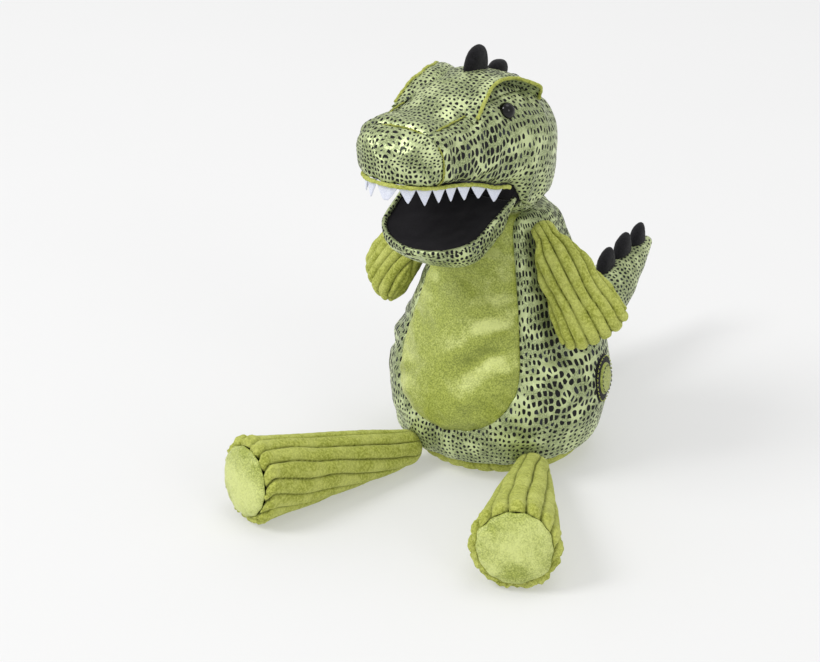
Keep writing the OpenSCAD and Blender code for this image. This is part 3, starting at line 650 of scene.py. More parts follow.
def tube(path, radius, sides=8, shade=0.0):
    """A round thread along a path, as (points, faces, shades)."""
    path = np.asarray(path, float)
    radius = np.broadcast_to(radius, len(path))
    step = np.gradient(path, axis=0)
    step /= np.maximum(np.linalg.norm(step, axis=1, keepdims=True), 1e-9)
    ref = np.array([0.13, 0.21, 0.97])
    a = np.cross(step, ref)
    a /= np.maximum(np.linalg.norm(a, axis=1, keepdims=True), 1e-9)
    b = np.cross(step, a)
    angle = np.arange(sides) * 2 * math.pi / sides
    circle = a[:, None] * np.cos(angle)[None, :, None] + b[:, None] * np.sin(angle)[None, :, None]
    points = (path[:, None] + circle * radius[:, None, None]).reshape(-1, 3)
    m = len(path)
    faces = []
    for row in range(0, (m - 1) * sides, sides):
        for j in range(sides):
            k = (j + 1) % sides
            faces.append([row + j, row + sides + j, row + sides + k, row + k])
    faces.append(list(range(sides)))
    faces.append(list(range((m - 1) * sides, m * sides))[::-1])
    return points, faces, np.full((len(points), 3), shade)


def stitches(path, normals, length, gap, radius):
    """Short raised threads along a seam."""
    path, normals = np.asarray(path, float), np.asarray(normals, float)
    along = run(path)
    parts, start = [], 0.5
    while start + length < along[-1]:
        s = np.linspace(start, start + length, 5)
        p = np.stack([np.interp(s, along, path[:, c]) for c in range(3)], -1)
        n = np.stack([np.interp(s, along, normals[:, c]) for c in range(3)], -1)
        bow = np.sin(np.linspace(0, math.pi, 5))[:, None]
        parts.append(tube(p + n * (0.45 * bow - 0.05), radius * (0.6 + 0.4 * bow[:, 0]), 6))
        start += length + gap
    return join(parts)


# ---------------------------------------------------------------- materials


def linear(r, g, b):
    """Linear colour of an sRGB colour given from 0 to 255."""
    out = []
    for c in (r, g, b):
        c /= 255
        out.append(c / 12.92 if c <= 0.04045 else ((c + 0.055) / 1.055) ** 2.4)
    return (*out, 1)


class Paint:
    """A material made of nodes, listed in Paint.slots with the name of its slot."""

    slots = {}

    def __init__(self, name, slot=None):
        self.mat = bpy.data.materials.new(name)
        Paint.slots[self.mat.name] = slot or name
        self.mat.use_nodes = True
        self.tree = self.mat.node_tree
        self.shader = self.tree.nodes["Principled BSDF"]

    def node(self, kind, out=0, settings=None, **inputs):
        made = self.tree.nodes.new(kind)
        for key, value in (settings or {}).items():
            setattr(made, key, value)
        for key, value in inputs.items():
            numbered = key[0] == "i" and key[1:].isdigit()
            self.join(value, made.inputs[int(key[1:]) if numbered else key.replace("_", " ")])
        return made.outputs[out]

    def join(self, value, socket):
        if isinstance(value, bpy.types.NodeSocket):
            self.tree.links.new(value, socket)
        else:
            socket.default_value = value

    def math(self, operation, a, b=0.0, c=0.0):
        return self.node("ShaderNodeMath", settings={"operation": operation}, i0=a, i1=b, i2=c)

    def ramp(self, value, low, high):
        """0 below low, 1 above high, smooth between."""
        return self.node("ShaderNodeMapRange", settings={"interpolation_type": "SMOOTHSTEP"},
                         i0=value, i1=low, i2=high, i3=0.0, i4=1.0)

    def mix(self, factor, a, b):
        made = self.tree.nodes.new("ShaderNodeMix")
        made.data_type = "RGBA"
        self.join(factor, made.inputs[0])
        self.join(a, made.inputs[6])
        self.join(b, made.inputs[7])
        return made.outputs[2]

    def noise(self, size_mm, detail=2.0, rough=0.55, distortion=0.0):
        where = self.node("ShaderNodeTexCoord", out=3)
        return self.node("ShaderNodeTexNoise", Vector=where, Scale=1 / (size_mm * MM), Detail=detail,
                         Roughness=rough, Distortion=distortion)

    def bump(self, height, strength, distance_mm, normal=None):
        made = self.tree.nodes.new("ShaderNodeBump")
        made.inputs["Strength"].default_value = strength
        made.inputs["Distance"].default_value = distance_mm * MM
        self.join(height, made.inputs["Height"])
        if normal is not None:
            self.join(normal, made.inputs["Normal"])
        return made.outputs[0]

    def set(self, **values):
        for key, value in values.items():
            self.join(value, self.shader.inputs[key.replace("_", " ")])
        return self.mat


def cloth_parts(p):
    """The three numbers that a piece's points carry: two pattern coordinates and a shade."""
    split = p.tree.nodes.new("ShaderNodeSeparateXYZ")
    p.join(p.node("ShaderNodeAttribute", out=1, settings={"attribute_name": "cloth"}), split.inputs[0])
    return split.outputs[:3]


def scale_print():
    """Foil print of dark rounded cells on a sage ground; the pattern's places and fullness ride on the piece."""
    p = Paint("scale_print")
    across, up, full = cloth_parts(p)
    flat = p.node("ShaderNodeCombineXYZ", X=across, Y=up, Z=0.0)
    wobble = p.node("ShaderNodeTexNoise", out=1, Vector=flat, Scale=0.55, Detail=1.0)
    warped = p.node("ShaderNodeMix", out=1, settings={"data_type": "VECTOR"}, i0=0.16, i4=flat, i5=wobble)
    cells = p.tree.nodes.new("ShaderNodeTexVoronoi")
    cells.voronoi_dimensions, cells.feature = "2D", "F1"
    edges = p.tree.nodes.new("ShaderNodeTexVoronoi")
    edges.voronoi_dimensions, edges.feature = "2D", "DISTANCE_TO_EDGE"
    for made in (cells, edges):
        p.join(warped, made.inputs["Vector"])
        made.inputs["Scale"].default_value = 1.19
        made.inputs["Randomness"].default_value = 0.62
    cell_tone = p.node("ShaderNodeSeparateColor", Color=cells.outputs["Color"])
    gap = p.math("ADD", p.math("MULTIPLY_ADD", full, -0.15, 0.226), p.math("MULTIPLY_ADD", cell_tone, 0.08, 0.0))
    rim = p.math("SUBTRACT", edges.outputs["Distance"], gap)
    reach = p.math("MULTIPLY_ADD", full, 0.18, 0.305)
    round_ = p.math("MULTIPLY", p.math("SUBTRACT", reach, cells.outputs["Distance"]), 0.7)
    inside = p.math("SMOOTH_MIN", rim, round_, 0.1)
    dark = p.ramp(inside, -0.012, 0.022)
    grain = p.noise(0.9, 3.0)
    patches = p.noise(16.0, 2.0)
    foil = p.mix(p.ramp(grain, 0.35, 0.68), linear(118, 129, 88), linear(184, 196, 144))
    foil = p.mix(p.math("MULTIPLY", p.ramp(patches, 0.42, 0.66), 0.8), foil, linear(214, 226, 170))
    ink = p.mix(p.ramp(cell_tone, 0.76, 0.88), linear(7, 8, 9), linear(36, 40, 46))
    colour = p.mix(dark, foil, ink)
    weave = p.noise(0.55, 2.0)
    height = p.math("ADD", p.math("MULTIPLY", weave, 0.5), p.math("MULTIPLY", dark, -0.35))
    folds = p.noise(7.0, 2.0)
    normal = p.bump(folds, 0.35, 1.6)
    normal = p.bump(height, 0.55, 0.35, normal)
    rough = p.node("ShaderNodeMapRange", i0=dark, i1=0.0, i2=1.0, i3=0.36, i4=0.72)
    shine = p.math("MULTIPLY", p.math("SUBTRACT", 1.0, dark), 0.42)
    return p.set(Base_Color=colour, Roughness=rough, Metallic=shine, Normal=normal,
                 Specular_IOR_Level=0.35)


def corduroy():
    """Wide-ribbed plush: the third value of the cloth attribute is 1 on a rib's crest and 0 in a groove, and the
    grooves are darkened as painted shade.
    """
    p = Paint("lime_corduroy")
    crest = cloth_parts(p)[2]
    tuft = p.noise(1.7, 3.0, 0.65)
    fine = p.noise(0.55, 2.0)
    broad = p.noise(14.0, 2.0)
    ground = p.mix(p.ramp(tuft, 0.36, 0.64), linear(150, 157, 60), linear(196, 202, 100))
    ground = p.mix(p.math("MULTIPLY", p.ramp(broad, 0.4, 0.68), 0.45), ground, linear(216, 221, 128))
    pits = p.math("MULTIPLY", p.ramp(fine, 0.58, 0.70), 0.6)
    ground = p.mix(pits, ground, linear(112, 118, 38))
    # painted shade: the grooves are coloured dark olive, lightening towards the crests
    deep = p.ramp(crest, 0.05, 0.75)
    colour = p.mix(deep, linear(78, 84, 20), ground)
    height = p.math("ADD", p.math("MULTIPLY", tuft, 1.0), p.math("MULTIPLY", fine, 0.6))
    return p.set(Base_Color=colour, Roughness=0.86, Normal=p.bump(height, 0.85, 1.1),
                 Sheen_Weight=0.45, Sheen_Roughness=0.45, Sheen_Tint=linear(226, 232, 150), Specular_IOR_Level=0.25)


def velour():
    """Short shiny pile: the third value of the cloth attribute is painted light, darker as painted shade where it is
    low and lighter as a painted highlight where it is high.
    """
    p = Paint("lime_velour")
    speck = p.noise(1.15, 3.0, 0.7)
    loose = p.math("ADD", p.math("MULTIPLY", p.noise(5.0, 3.0), 0.5), p.math("MULTIPLY", speck, 0.55))
    lean = p.math("ADD", cloth_parts(p)[2], p.math("SUBTRACT", loose, 0.52))
    fine = p.noise(0.5, 2.0)
    colour = p.mix(p.ramp(speck, 0.36, 0.66), linear(128, 140, 48), linear(178, 188, 84))
    # painted shade where lean is low, painted highlight where it is high
    colour = p.mix(p.math("MULTIPLY", p.ramp(lean, 0.42, 0.02), 0.55), colour, linear(104, 116, 34))
    colour = p.mix(p.math("MULTIPLY", p.ramp(lean, 0.44, 1.05), 0.75), colour, linear(222, 230, 146))
    height = p.math("ADD", p.math("MULTIPLY", speck, 0.8), p.math("MULTIPLY", fine, 0.5))
    rough = p.node("ShaderNodeMapRange", i0=speck, i1=0.3, i2=0.7, i3=0.50, i4=0.34)
    return p.set(Base_Color=colour, Roughness=rough, Normal=p.bump(height, 0.55, 0.5),
                 Sheen_Weight=0.6, Sheen_Roughness=0.3, Sheen_Tint=linear(236, 240, 170), Specular_IOR_Level=0.55)


def felt_cloth(name, dark, light, sheen, size=1.3, strength=0.6, slot=None):
    p = Paint(name, slot)
    fibres = p.noise(size, 4.0, 0.7, distortion=1.2)
    broad = p.noise(9.0, 2.0)
    colour = p.mix(p.ramp(fibres, 0.35, 0.68), linear(*dark), linear(*light))
    colour = p.mix(p.math("MULTIPLY", p.ramp(broad, 0.4, 0.7), 0.3), colour, linear(*light))
    return p.set(Base_Color=colour, Roughness=0.9, Normal=p.bump(fibres, strength, 0.5),
                 Sheen_Weight=sheen, Sheen_Roughness=0.5, Specular_IOR_Level=0.2)


def woven(name, dark, light, pitch):
    """Plain weave tape: threads cross at the pitch, in mm."""
    p = Paint(name)
    where = p.node("ShaderNodeTexCoord", out=3)
    waves = []
    for direction in ("X", "Z"):
        waves.append(p.node("ShaderNodeTexWave", settings={"bands_direction": direction}, Vector=where,
                            Scale=1 / (pitch * MM) / 6.28, Distortion=0.4))
    cross = p.math("MULTIPLY", waves[0], waves[1])
    worn = p.noise(5.0)
    colour = p.mix(p.ramp(cross, 0.1, 0.7), linear(*dark), linear(*light))
    colour = p.mix(p.math("MULTIPLY", p.ramp(worn, 0.45, 0.7), 0.25), colour, linear(*dark))
    return p.set(Base_Color=colour, Roughness=0.8, Normal=p.bump(cross, 0.6, 0.3),
                 Sheen_Weight=0.2, Specular_IOR_Level=0.3)


def plastic(name, colour, light, rough, metallic=0.0, shine=0.5):
    p = Paint(name)
    marks = p.noise(2.0, 3.0)
    tone = p.mix(p.ramp(marks, 0.35, 0.7), linear(*colour), linear(*light))
    roughness = p.node("ShaderNodeMapRange", i0=marks, i1=0.3, i2=0.7, i3=rough, i4=rough + 0.08)
    return p.set(Base_Color=tone, Roughness=roughness, Metallic=metallic, Normal=p.bump(marks, 0.05, 0.1),
                 Specular_IOR_Level=shine)


PRINT, CORD, VELOUR = scale_print(), corduroy(), velour()
FELT = felt_cloth("black_felt", (9, 9, 11), (30, 29, 33), 0.1)
LINING = felt_cloth("mouth_lining", (7, 5, 9), (20, 17, 24), 0.15, 1.0, 0.4)
TOOTH = felt_cloth("white_felt", (206, 211, 228), (236, 239, 250), 0.15, 0.9, 0.35)
BEADS = woven("bead_cloth", (196, 190, 168), (226, 221, 204), 0.9)
THREAD = felt_cloth("grey_thread", (56, 62, 52), (90, 98, 80), 0.3, 0.5, 0.5)
LIME_THREAD = felt_cloth("lime_thread", (150, 160, 60), (196, 204, 100), 0.3, 0.5, 0.5, "grey_thread")
LABEL = woven("label_tape", (226, 226, 220), (248, 248, 244), 0.5)
TAPE = woven("zip_tape", (94, 106, 44), (140, 152, 74), 0.8)
GLOSS = plastic("eye_gloss", (3, 3, 3), (6, 6, 6), 0.04, shine=0.36)
ZIP = plastic("zip_plastic", (24, 26, 22), (44, 48, 38), 0.35)
METAL = plastic("zip_metal", (150, 152, 156), (196, 198, 202), 0.26, metallic=1.0)
WASHER = plastic("washer_plastic", (226, 226, 222), (244, 244, 240), 0.4)

# ---------------------------------------------------------------- shared fabric detail


def seam_dip(distance, depth=1.7, width=3.0):
    return -depth * np.exp(-((distance / width) ** 1.2))


def puckers(distance, along, amount, period, reach, where, seed):
    """Short folds that run away from a seam, amount in mm."""
    phase = along / period + 0.9 * noise(where, period * 2.2, seed)
    fade = np.exp(-distance / reach) * (0.55 + 0.45 * noise(where, 17, seed + 3))
    return amount * np.sin(2 * math.pi * phase) * fade


def crease(P, start, end, width, depth):
    """A fold along a line in mm: a dip with a soft rise beside it."""
    s, e = np.array(start, float), np.array(end, float)
    d = e - s
    t = np.clip(((P - s) @ d) / (d @ d), 0, 1)
    away = np.linalg.norm(P - (s + t[..., None] * d), axis=-1)
    ends = np.clip(np.minimum(t, 1 - t) / 0.35, 0, 1) ** 0.7
    return ends * depth * (-np.exp(-((away / width) ** 2)) + 0.55 * np.exp(-(((away - 2.1 * width) / width) ** 2)))


def rib(phase):
    """Round-backed ribs with narrow grooves: 1 on the crest, 0 in the groove."""
    w = np.mod(phase, 1) * 2 - 1
    return np.sqrt(np.clip(1 - np.abs(w) ** 2.6, 0, 1))


def nap(where, amount=0.22):
    """The uneven tips of a pile."""
    return amount * noise(where, 1.9, 5) + 0.5 * amount * noise(where, 3.7, 6)


# ---------------------------------------------------------------- body

low = belly_low_z + 5 * (np.arange(0, 17) / 16) ** 2
side_z = np.concatenate([
    np.linspace(base_seam_z, belly_low_z - 0.6, 26), low,
    np.linspace(belly_low_z + 6.3, back_high_z, 88),
    even(pear[pear[:, 1] >= back_high_z], pear[pear[:, 1] >= back_high_z][:, 1], 1.4)[1:]])
outline_z = np.concatenate([belly_low_z + 5 * (np.arange(0, 40) / 40) ** 2,
                            np.linspace(belly_low_z + 5, body_top, 120)])


def outline(side):
    x = belly_x(outline_z)
    r = body_radius(outline_z)
    return stack(side * x, -np.sqrt(np.maximum(r**2 - x**2, 0)), outline_z)


belly_line = np.concatenate([outline(-1)[::-1], outline(1)[1:]])


def to_line(P, line):
    """Distance from each point to the nearest point of a line, and that point's place along the line."""
    flat = P.reshape(-1, 3)
    best, which = np.full(len(flat), 1e9), np.zeros(len(flat), int)
    for index, q in enumerate(line):
        d = np.sum((flat - q) ** 2, 1)
        closer = d < best
        best[closer], which[closer] = d[closer], index
    along = run(line)
    return np.sqrt(best).reshape(P.shape[:-1]), along[which].reshape(P.shape[:-1])


zip_mid = (back_low_z + back_high_z) / 2


def body_push(P):
    angle = np.degrees(np.arctan2(P[..., 0], -P[..., 1])) % 360
    return body_field.at(P[..., 2], angle)


def zip_zone(P):
    """1 where the zip lies on the back, so the fabric stays flat under it."""
    return (ease(-np.abs(P[..., 0]), -22, -12) * (P[..., 1] > 0)
            * ease(-np.abs(P[..., 2] - zip_mid), -zip_len / 2 - 12, -zip_len / 2 - 2))


side_creases = [
    # folds beside the belly, under the arms and over the hips: [start, end, width, depth], the same on both sides
    ((54, -52, 118), (70, -10, 122), 4.0, 2.4), ((56, -50, 100), (76, -8, 96), 4.5, 2.6),
    ((58, -52, 82), (78, -14, 74), 4.0, 1.8), ((48, -42, 140), (58, 0, 146), 3.5, 1.8),
    ((66, -40, 52), (78, 2, 60), 5.0, 1.8), ((36, -30, 160), (46, 4, 160), 3.5, 1.6),
    ((60, 46, 66), (40, 66, 80), 5.0, 1.8), ((20, 68, 110), (52, 44, 118), 5.0, 1.5),
    ((40, -62, 34), (62, -38, 30), 4.0, 1.4), ((14, -70, 26), (34, -66, 24), 3.5, 1.0),
]


def under_arm(P):
    """1 where an arm lies against the body, so that the fabric stays nearly flat there."""
    x, y, z = np.abs(P[..., 0]), P[..., 1], P[..., 2]
    return ease(z, 96, 116) * ease(-z, -196, -186) * ease(x, 24, 34) * ease(-np.abs(y + 20), -48, -36)


for side, tag in SIDES:
    zz = side_z[:, None]
    start = np.degrees(np.arcsin(np.clip(belly_x(zz) / body_radius(zz), -1, 1)))
    columns = np.linspace(0, 1, 165)[None]
    angle = start + (180 - start) * columns
    P = body_point(side * angle, zz)
    s = Surf(P, (0, 0, 90))
    U = s.U.copy()
    d_belly, along = to_line(P, outline(side))
    d_back, d_base = s.U[:, -1:] - s.U, s.V
    zone = zip_zone(P)
    d_seam = np.minimum(np.minimum(d_belly, d_base), d_back + 40 * zone)
    arm_zone = under_arm(P)
    s.P = s.P + body_push(P) * (1 - 0.9 * zone)[..., None] * (1 - 0.7 * arm_zone)[..., None]
    h = seam_dip(d_seam) + puckers(d_belly, along, 0.9, 11, 11, P, 7) + puckers(d_base, U, 0.7, 13, 9, P, 9)
    h += 0.8 * noise(P, 26, 1) + 0.35 * noise(P, 9, 2)
    h += 0.9 * ease(-d_seam, -30, -6) * (1 - np.exp(-d_seam / 5))
    for a, b, width, depth in side_creases:
        wave = stack(2 * noise(P, 15, 21), 2 * noise(P, 15, 22), 2.5 * noise(P, 13, 23))
        h += crease(P + wave, (side * a[0], a[1], a[2]), (side * b[0], b[1], b[2]), width, depth)
    h = h * (1 - zone) - 0.35 * zone
    s.push(h - arm_zone * (0.6 + 0.8 * np.maximum(h, 0)))
    # the printed cells grow away from the belly and the base, and stand in columns
    turn_mm = np.linspace(0, 220, 441)
    across = np.concatenate([[0], np.cumsum(0.5 / (2.7 + 1.1 * ease(turn_mm[1:], 46, 78)))])
    up = np.concatenate([[0], np.cumsum(0.5 / (3.6 + 2.8 * ease(pear_arc(turn_mm)[1:], 34, 62)))])
    u = np.interp(62 * np.radians(angle) + 0 * P[..., 2], turn_mm, across)
    v = np.interp(arc_at(P[..., 2]), turn_mm, up)
    full = ease(d_belly, 2, 26) * ease(P[..., 2], 30, 60) * 0.52 + 0.28 + 0.2 * noise(P, 20, 31)
    cloth = stack(u + 0.9 * noise(P, 55, 32), v + 0.9 * noise(P, 60, 33), np.clip(full, 0, 1))
    build(f"body_side_{tag}_cloth", s, "body", cloth, PRINT, hems="srl",
          replaces=[f"body_side_{tag}"] + (["body_stuffing"] if side > 0 else []))

rows_z = np.concatenate([low, np.linspace(belly_low_z + 6.2, body_top - 0.4, 116)])[:, None]
a = np.linspace(-1, 1, 86)[None]
x = belly_x(rows_z) * spow(a, 0.97) * 0.998
P = stack(x, -np.sqrt(np.maximum(body_radius(rows_z) ** 2 - x**2, 0)), rows_z)
s = Surf(P, (0, 0, 90))
d_edge, along = to_line(P, belly_line)
s.P = s.P + body_push(P)
h = seam_dip(d_edge, 1.5, 2.6) + puckers(d_edge, along, 0.55, 14, 10, P, 13)
h += 1.4 * (1 - np.exp(-d_edge / 9)) + 0.7 * noise(P, 30, 14) + 0.22 * noise(P, 10, 15)
wave = stack(2 * noise(P, 18, 24), 0 * x, 3 * noise(P, 16, 26))
for c in [((50, -52, 134), (12, -66, 128), 5.0, 1.5), ((51, -56, 117), (4, -78, 80), 8.0, 2.2),
          ((46, -62, 66), (14, -76, 58), 5.0, 0.7), ((44, -50, 156), (20, -54, 160), 4.0, 1.7),
          ((-42, -48, 150), (-16, -56, 156), 5.0, 1.2), ((-46, -60, 70), (-22, -74, 76), 5.0, 0.9),
          ((24, -38, 178), (2, -46, 172), 3.5, 1.6)]:
    h += 1.7 * crease(P + wave, *c)
# lean is painted light: a painted highlight on fold faces that turn upwards, painted shade on those that turn down,
# lighter on the -x half that faces the key lamp, with random patches
slope = np.gradient(h, axis=0) / np.gradient(rows_z, axis=0)
lean = 0.48 - 0.85 * slope + 0.24 * ease(-x, 4, 46) + 0.2 * noise(P * [1, 1, 1.6], 30, 16)
s.push(h)
build("belly_cloth", s, "body", stack(P[..., 0], P[..., 2], np.clip(lean, 0, 1)), VELOUR, hems="elr",
      replaces=["belly_panel"])

base_rows = np.concatenate([stack(np.linspace(1, base_r - 2, 36), np.zeros(36)),
                            pear[pear[:, 1] < base_seam_z][::3], [[body_radius(base_seam_z), base_seam_z]]])
ring_a = full_turn(240)
P = stack(base_rows[:, :1] * sind(ring_a), -base_rows[:, :1] * cosd(ring_a), base_rows[:, 1:])
s = Surf(P, (0, 0, 60), closed=True)
crest = rib(P[..., 0] / base_rib + 0.5)
crest = np.where(np.abs(P[..., 0]) > body_radius(base_seam_z) - 7, 1, crest)
flank = ease(P[..., 2], 0.5, 6)
bulge = 1.4 * np.sin(np.clip(P[..., 2] / base_seam_z, 0, 1) * math.pi) ** 0.7
h = -1.8 * (1 - crest) + flank * bulge + nap(P) * flank
h += seam_dip(base_seam_z - P[..., 2], 1.0, 2.0) * flank
h = np.where(P[..., 2] < 0.3, -1.6 * (1 - crest) - 0.25, h)
s.push(h)
s.P[..., 2] = np.maximum(s.P[..., 2], 0)
build("base_cloth", s, "body", stack(P[..., 0], P[..., 1], crest), CORD, hems="e", caps="s",
      replaces=["base_panel"])

# hip patch: an oval of dark felt with a smaller lime oval stitched on it
for name, size, lift, mat, thread, cad in (
        ("hip_patch_felt", patch_d / 2, 1.0, FELT, LIME_THREAD, ["hip_patch"]),
        ("hip_patch_oval", patch_d / 2 - 6.5, 2.1, VELOUR, THREAD, [])):
    rho = np.linspace(0.02, 1, 22)[:, None]
    ang = full_turn(72)
    u, w = rho * size * 0.92 * cosd(ang), rho * size * sind(ang)
    z = patch_z + w
    turned_at = 90 + patch_at + np.degrees(u / body_radius(z))
    base = body_point(turned_at, z)
    s = Surf(base, (0, 0, patch_z), closed=True)
    s.P = s.P + body_push(base)
    s.push(lift + 0.8 * noise(base, 26, 1) - 1.2 * np.maximum(0, rho - 0.9) / 0.1 + 0.15 * noise(base, 3, 8))
    patch = build(name, s, "body", stack(u, w, 0.45 + 0.3 * noise(base, 9, 6)), mat, hems="e", hem=1.0, caps="s",
                  replaces=cad)
    ang = np.linspace(0, 360, 120)
    u, w = (size - 1.6) * 0.92 * cosd(ang), (size - 1.6) * sind(ang)
    z = patch_z + w
    line = body_point(90 + patch_at + np.degrees(u / body_radius(z)), z)
    n = line * [1, 1, 0]
    n /= np.linalg.norm(n, axis=1, keepdims=True)
    line = line + body_push(line) + n * (lift + 0.8 * noise(line, 26, 1) + 0.35)[:, None]
    finish_piece(name + "_stitches", stitches(line, n, 2.2, 1.3, 0.38), "body", thread)

# care label: a white tape in the base seam, behind the right hip
m = turn("Z", 128) @ shift(back_low_r - 1.5, 0, base_seam_z - 5) @ turn("Y", 62)
along = np.linspace(2, 24, 26)[:, None]
across = np.linspace(-8, 8, 20)[None]
bend = -0.5 + 0.9 * np.sin(along / 24 * 3.0) + 0.25 * np.cos(across / 8 * 2.0)
s = Surf(placed(m, stack(bend, across, along)), (0, 0, 60))
label = build("care_label_tape", s, "body", stack(along, across, 0.0), LABEL,
              replaces=["care_label"])
solid = label.modifiers.new("thickness", "SOLIDIFY")
solid.thickness = 0.0006

# zip tapes on the back, with a row of stitches along each
back_slope = (back_low_r - back_high_r) / (back_high_z - back_low_z)


def back_point(across, z, lift):
    across, z, lift = np.broadcast_arrays(across, z, lift)
    r = back_low_r - back_slope * (z - back_low_z) + lift
    angle = 180 - np.degrees(across / r)
    return stack(r * sind(angle), -r * cosd(angle), z)


for side, tag in SIDES:
    z = np.linspace(zip_mid - zip_len / 2, zip_mid + zip_len / 2, 90)[:, None]
    across = side * np.linspace(0.3, tape_w, 16)[None]
    ripple = 0.12 * np.sin(z / 2.1) * ease(np.abs(across), 3, 7)
    s = Surf(back_point(across, z, 0.55 + ripple + 0.1 * np.sin(np.abs(across) * 2.4)), (0, 0, 120))
    tape = build(f"zip_tape_{tag}_cloth", s, "body", stack(across, z, 0.0), TAPE,
                 hems="serl", hem=0.7, replaces=[f"zip_tape_{tag}"])
    zs = np.linspace(zip_mid - zip_len / 2 + 1, zip_mid + zip_len / 2 - 1, 120)
    line = back_point(side * 7.6 + 0 * zs, zs, 0.75)
    n = line * [1, 1, 0] / np.linalg.norm(line[:, :2], axis=1)[:, None]
    finish_piece(f"zip_stitches_{tag}", stitches(line, n, 2.2, 1.0, 0.26), "body", LIME_THREAD)

# neck: a stuffed ball of the printed fabric
lat = np.linspace(-88, 88, 60)[:, None]
lon = full_turn(96)
P = stack(neck_ball_r * cosd(lat) * cosd(lon), neck_ball_r * cosd(lat) * sind(lon), neck_z + neck_ball_r * sind(lat))
s = Surf(P, (0, 0, neck_z), closed=True)
s.push(-0.5 + 0.35 * noise(P, 8, 3) + seam_dip(np.abs(P[..., 0]), 0.5, 1.2))
build("neck_cloth", s, "neck", stack(lon * 0.09, lat * 0.09, 0.3), PRINT,
      caps="se", replaces=["neck_ball"])

# the fabric that joins the body, the neck ball, the head and the tail, fixed in place rather than riding on any of them


def sleeve(name, start, end, sizes, bodies):
    """A soft tube between two centres: sizes are rows of [share of its length, radius across, radius the other way]."""
    start, end = np.array(start, float), np.array(end, float)
    k = np.linspace(0, 1, 26)[:, None]
    ring_at = full_turn(120)
    r = smooth(sizes, k[:, 0])[:, 1:]
    axis = (end - start) / np.linalg.norm(end - start)
    side_way = np.array([1.0, 0, 0])
    # a standing sleeve keeps its rings level, so it can lean forward without tipping its rim
    up_way = np.array([0, 1.0, 0]) if axis[2] > 0.7 else np.cross(axis, side_way)
    P = (start + (end - start) * k[..., None] + (r[:, :1] * cosd(ring_at))[..., None] * side_way
         + (r[:, 1:] * sind(ring_at))[..., None] * up_way)
    s = Surf(P, (start + end) / 2, closed=True)
    s.push(0.5 * np.sin(np.radians(ring_at) * 15) * np.sin(math.pi * k) + 0.4 * noise(P, 6, 141))
    made = build(name, s, bodies[0], stack(np.radians(ring_at) * 22 / 3.4, k * 4, 0.3), PRINT)
    made.parent = None
    del made["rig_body"]
    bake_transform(made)


sleeve("neck_collar_low", (0, 0, 193), (0, 0, 198), [[0, 27, 27], [0.5, 25, 25], [1, 22, 22]], ("body", "neck"))
sleeve("neck_collar_high", (0, 0, 198), (0, -9, 213), [[0, 22, 22], [0.5, 21.5, 20], [1, 18, 15]], ("neck", "head"))
sleeve("tail_gusset", (0, 76, 45), (0, 108, 46.5), [[0, 23, 23], [0.4, 21, 21], [1, 23.6, 23.6]], ("body", "tail"))

# ---------------------------------------------------------------- head


def head_grid(t0, t1, v0, v1):
    dense_t, dense_v = np.linspace(t0, t1, 900), np.linspace(v0, v1, 900)
    ts = even(head_point(dense_t, 0.5 * (v0 + v1) if abs(v1 - v0) < 200 else 70), dense_t, cloth_step)
    return np.meshgrid(ts, even(head_point(head_t(-70), dense_v), dense_v, cloth_step), indexing="ij")


lip_v = -45
seam_t = head_t(nose_seam_y)
throat_t = head_t(mouth_y + 10)
tip_t = 0.0004


def head_piece(name, t0, t1, v0, v1, hems, cell, replaces, mat=PRINT, inset=0.0):
    t, v = head_grid(t0, t1, v0, v1)
    P = head_point(t, v, inset)
    if t0 == tip_t:
        P[0, :, 0] = 0
    if t1 == 1 - tip_t:
        P[-1] = P[-1].mean(0) * [0, 1, 1]
    s = Surf(P, (0, -60, 255))
    U, V = s.U, s.V
    d = s.edges(hems)
    s.P = s.P + head_field.at(t, v % 360)
    h = seam_dip(d, 1.3, 2.4) + puckers(d, U + V, 0.35, 9, 7, P, 17)
    h += 0.7 * noise(P, 24, 41) + 0.28 * noise(P, 8, 42)
    x = np.abs(P[..., 0])
    y = P[..., 1]
    # the eye sockets sink a little, the muzzle dips behind the nose and swells at its sides
    socket = head_point(head_t(eye_y), eye_at)
    away = np.linalg.norm(stack(x, y, P[..., 2]) - socket, axis=-1)
    h += -2.4 * np.exp(-((away / 9) ** 2)) * ease(away, 2.5, 7)
    bridge = np.exp(-(((y + 108) / 12) ** 2)) * ease(P[..., 2], 270, 286) * np.exp(-((x / 22) ** 2))
    h += -2.2 * bridge
    swell = np.exp(-(((y + 132) / 14) ** 2)) * np.exp(-(((x - 24) / 12) ** 2)) * ease(P[..., 2], 262, 280)
    h += 2.0 * swell
    s.push(h * ease(t, 0.0, 0.004))
    u, w, full = cell(t, v, P, U, V)
    build(name, s, "head", stack(u, w, np.clip(full, 0, 1)), mat, hems=hems, replaces=replaces)


def nose_cells(t, v, P, U, V):
    """Cells laid out round the tip of the nose, and across below it."""
    over = np.clip(v, 0, 180)
    fall = np.where((v < 0) | (v > 180), P[..., 2] - head_point(t, 0)[..., 2], 0)
    side = ease(-P[..., 2], -275, -258)
    return V * cosd(over) / 3.0, (V * sind(over) + fall) / 3.4, 0.34 + 0.3 * side + 0.15 * noise(P, 14, 51)


def crown_cells(t, v, P, U, V):
    grow = 1 - 0.22 * ease(P[..., 1], -60, -20)
    return P[..., 0] / 3.3 * grow, V / 3.7, 0.34 + 0.36 * ease(P[..., 1], -70, -30) + 0.15 * noise(P, 18, 53)


def under_cells(t, v, P, U, V):
    return P[..., 0] / 3.2, P[..., 1] / 3.4, 0.2 + 0 * t


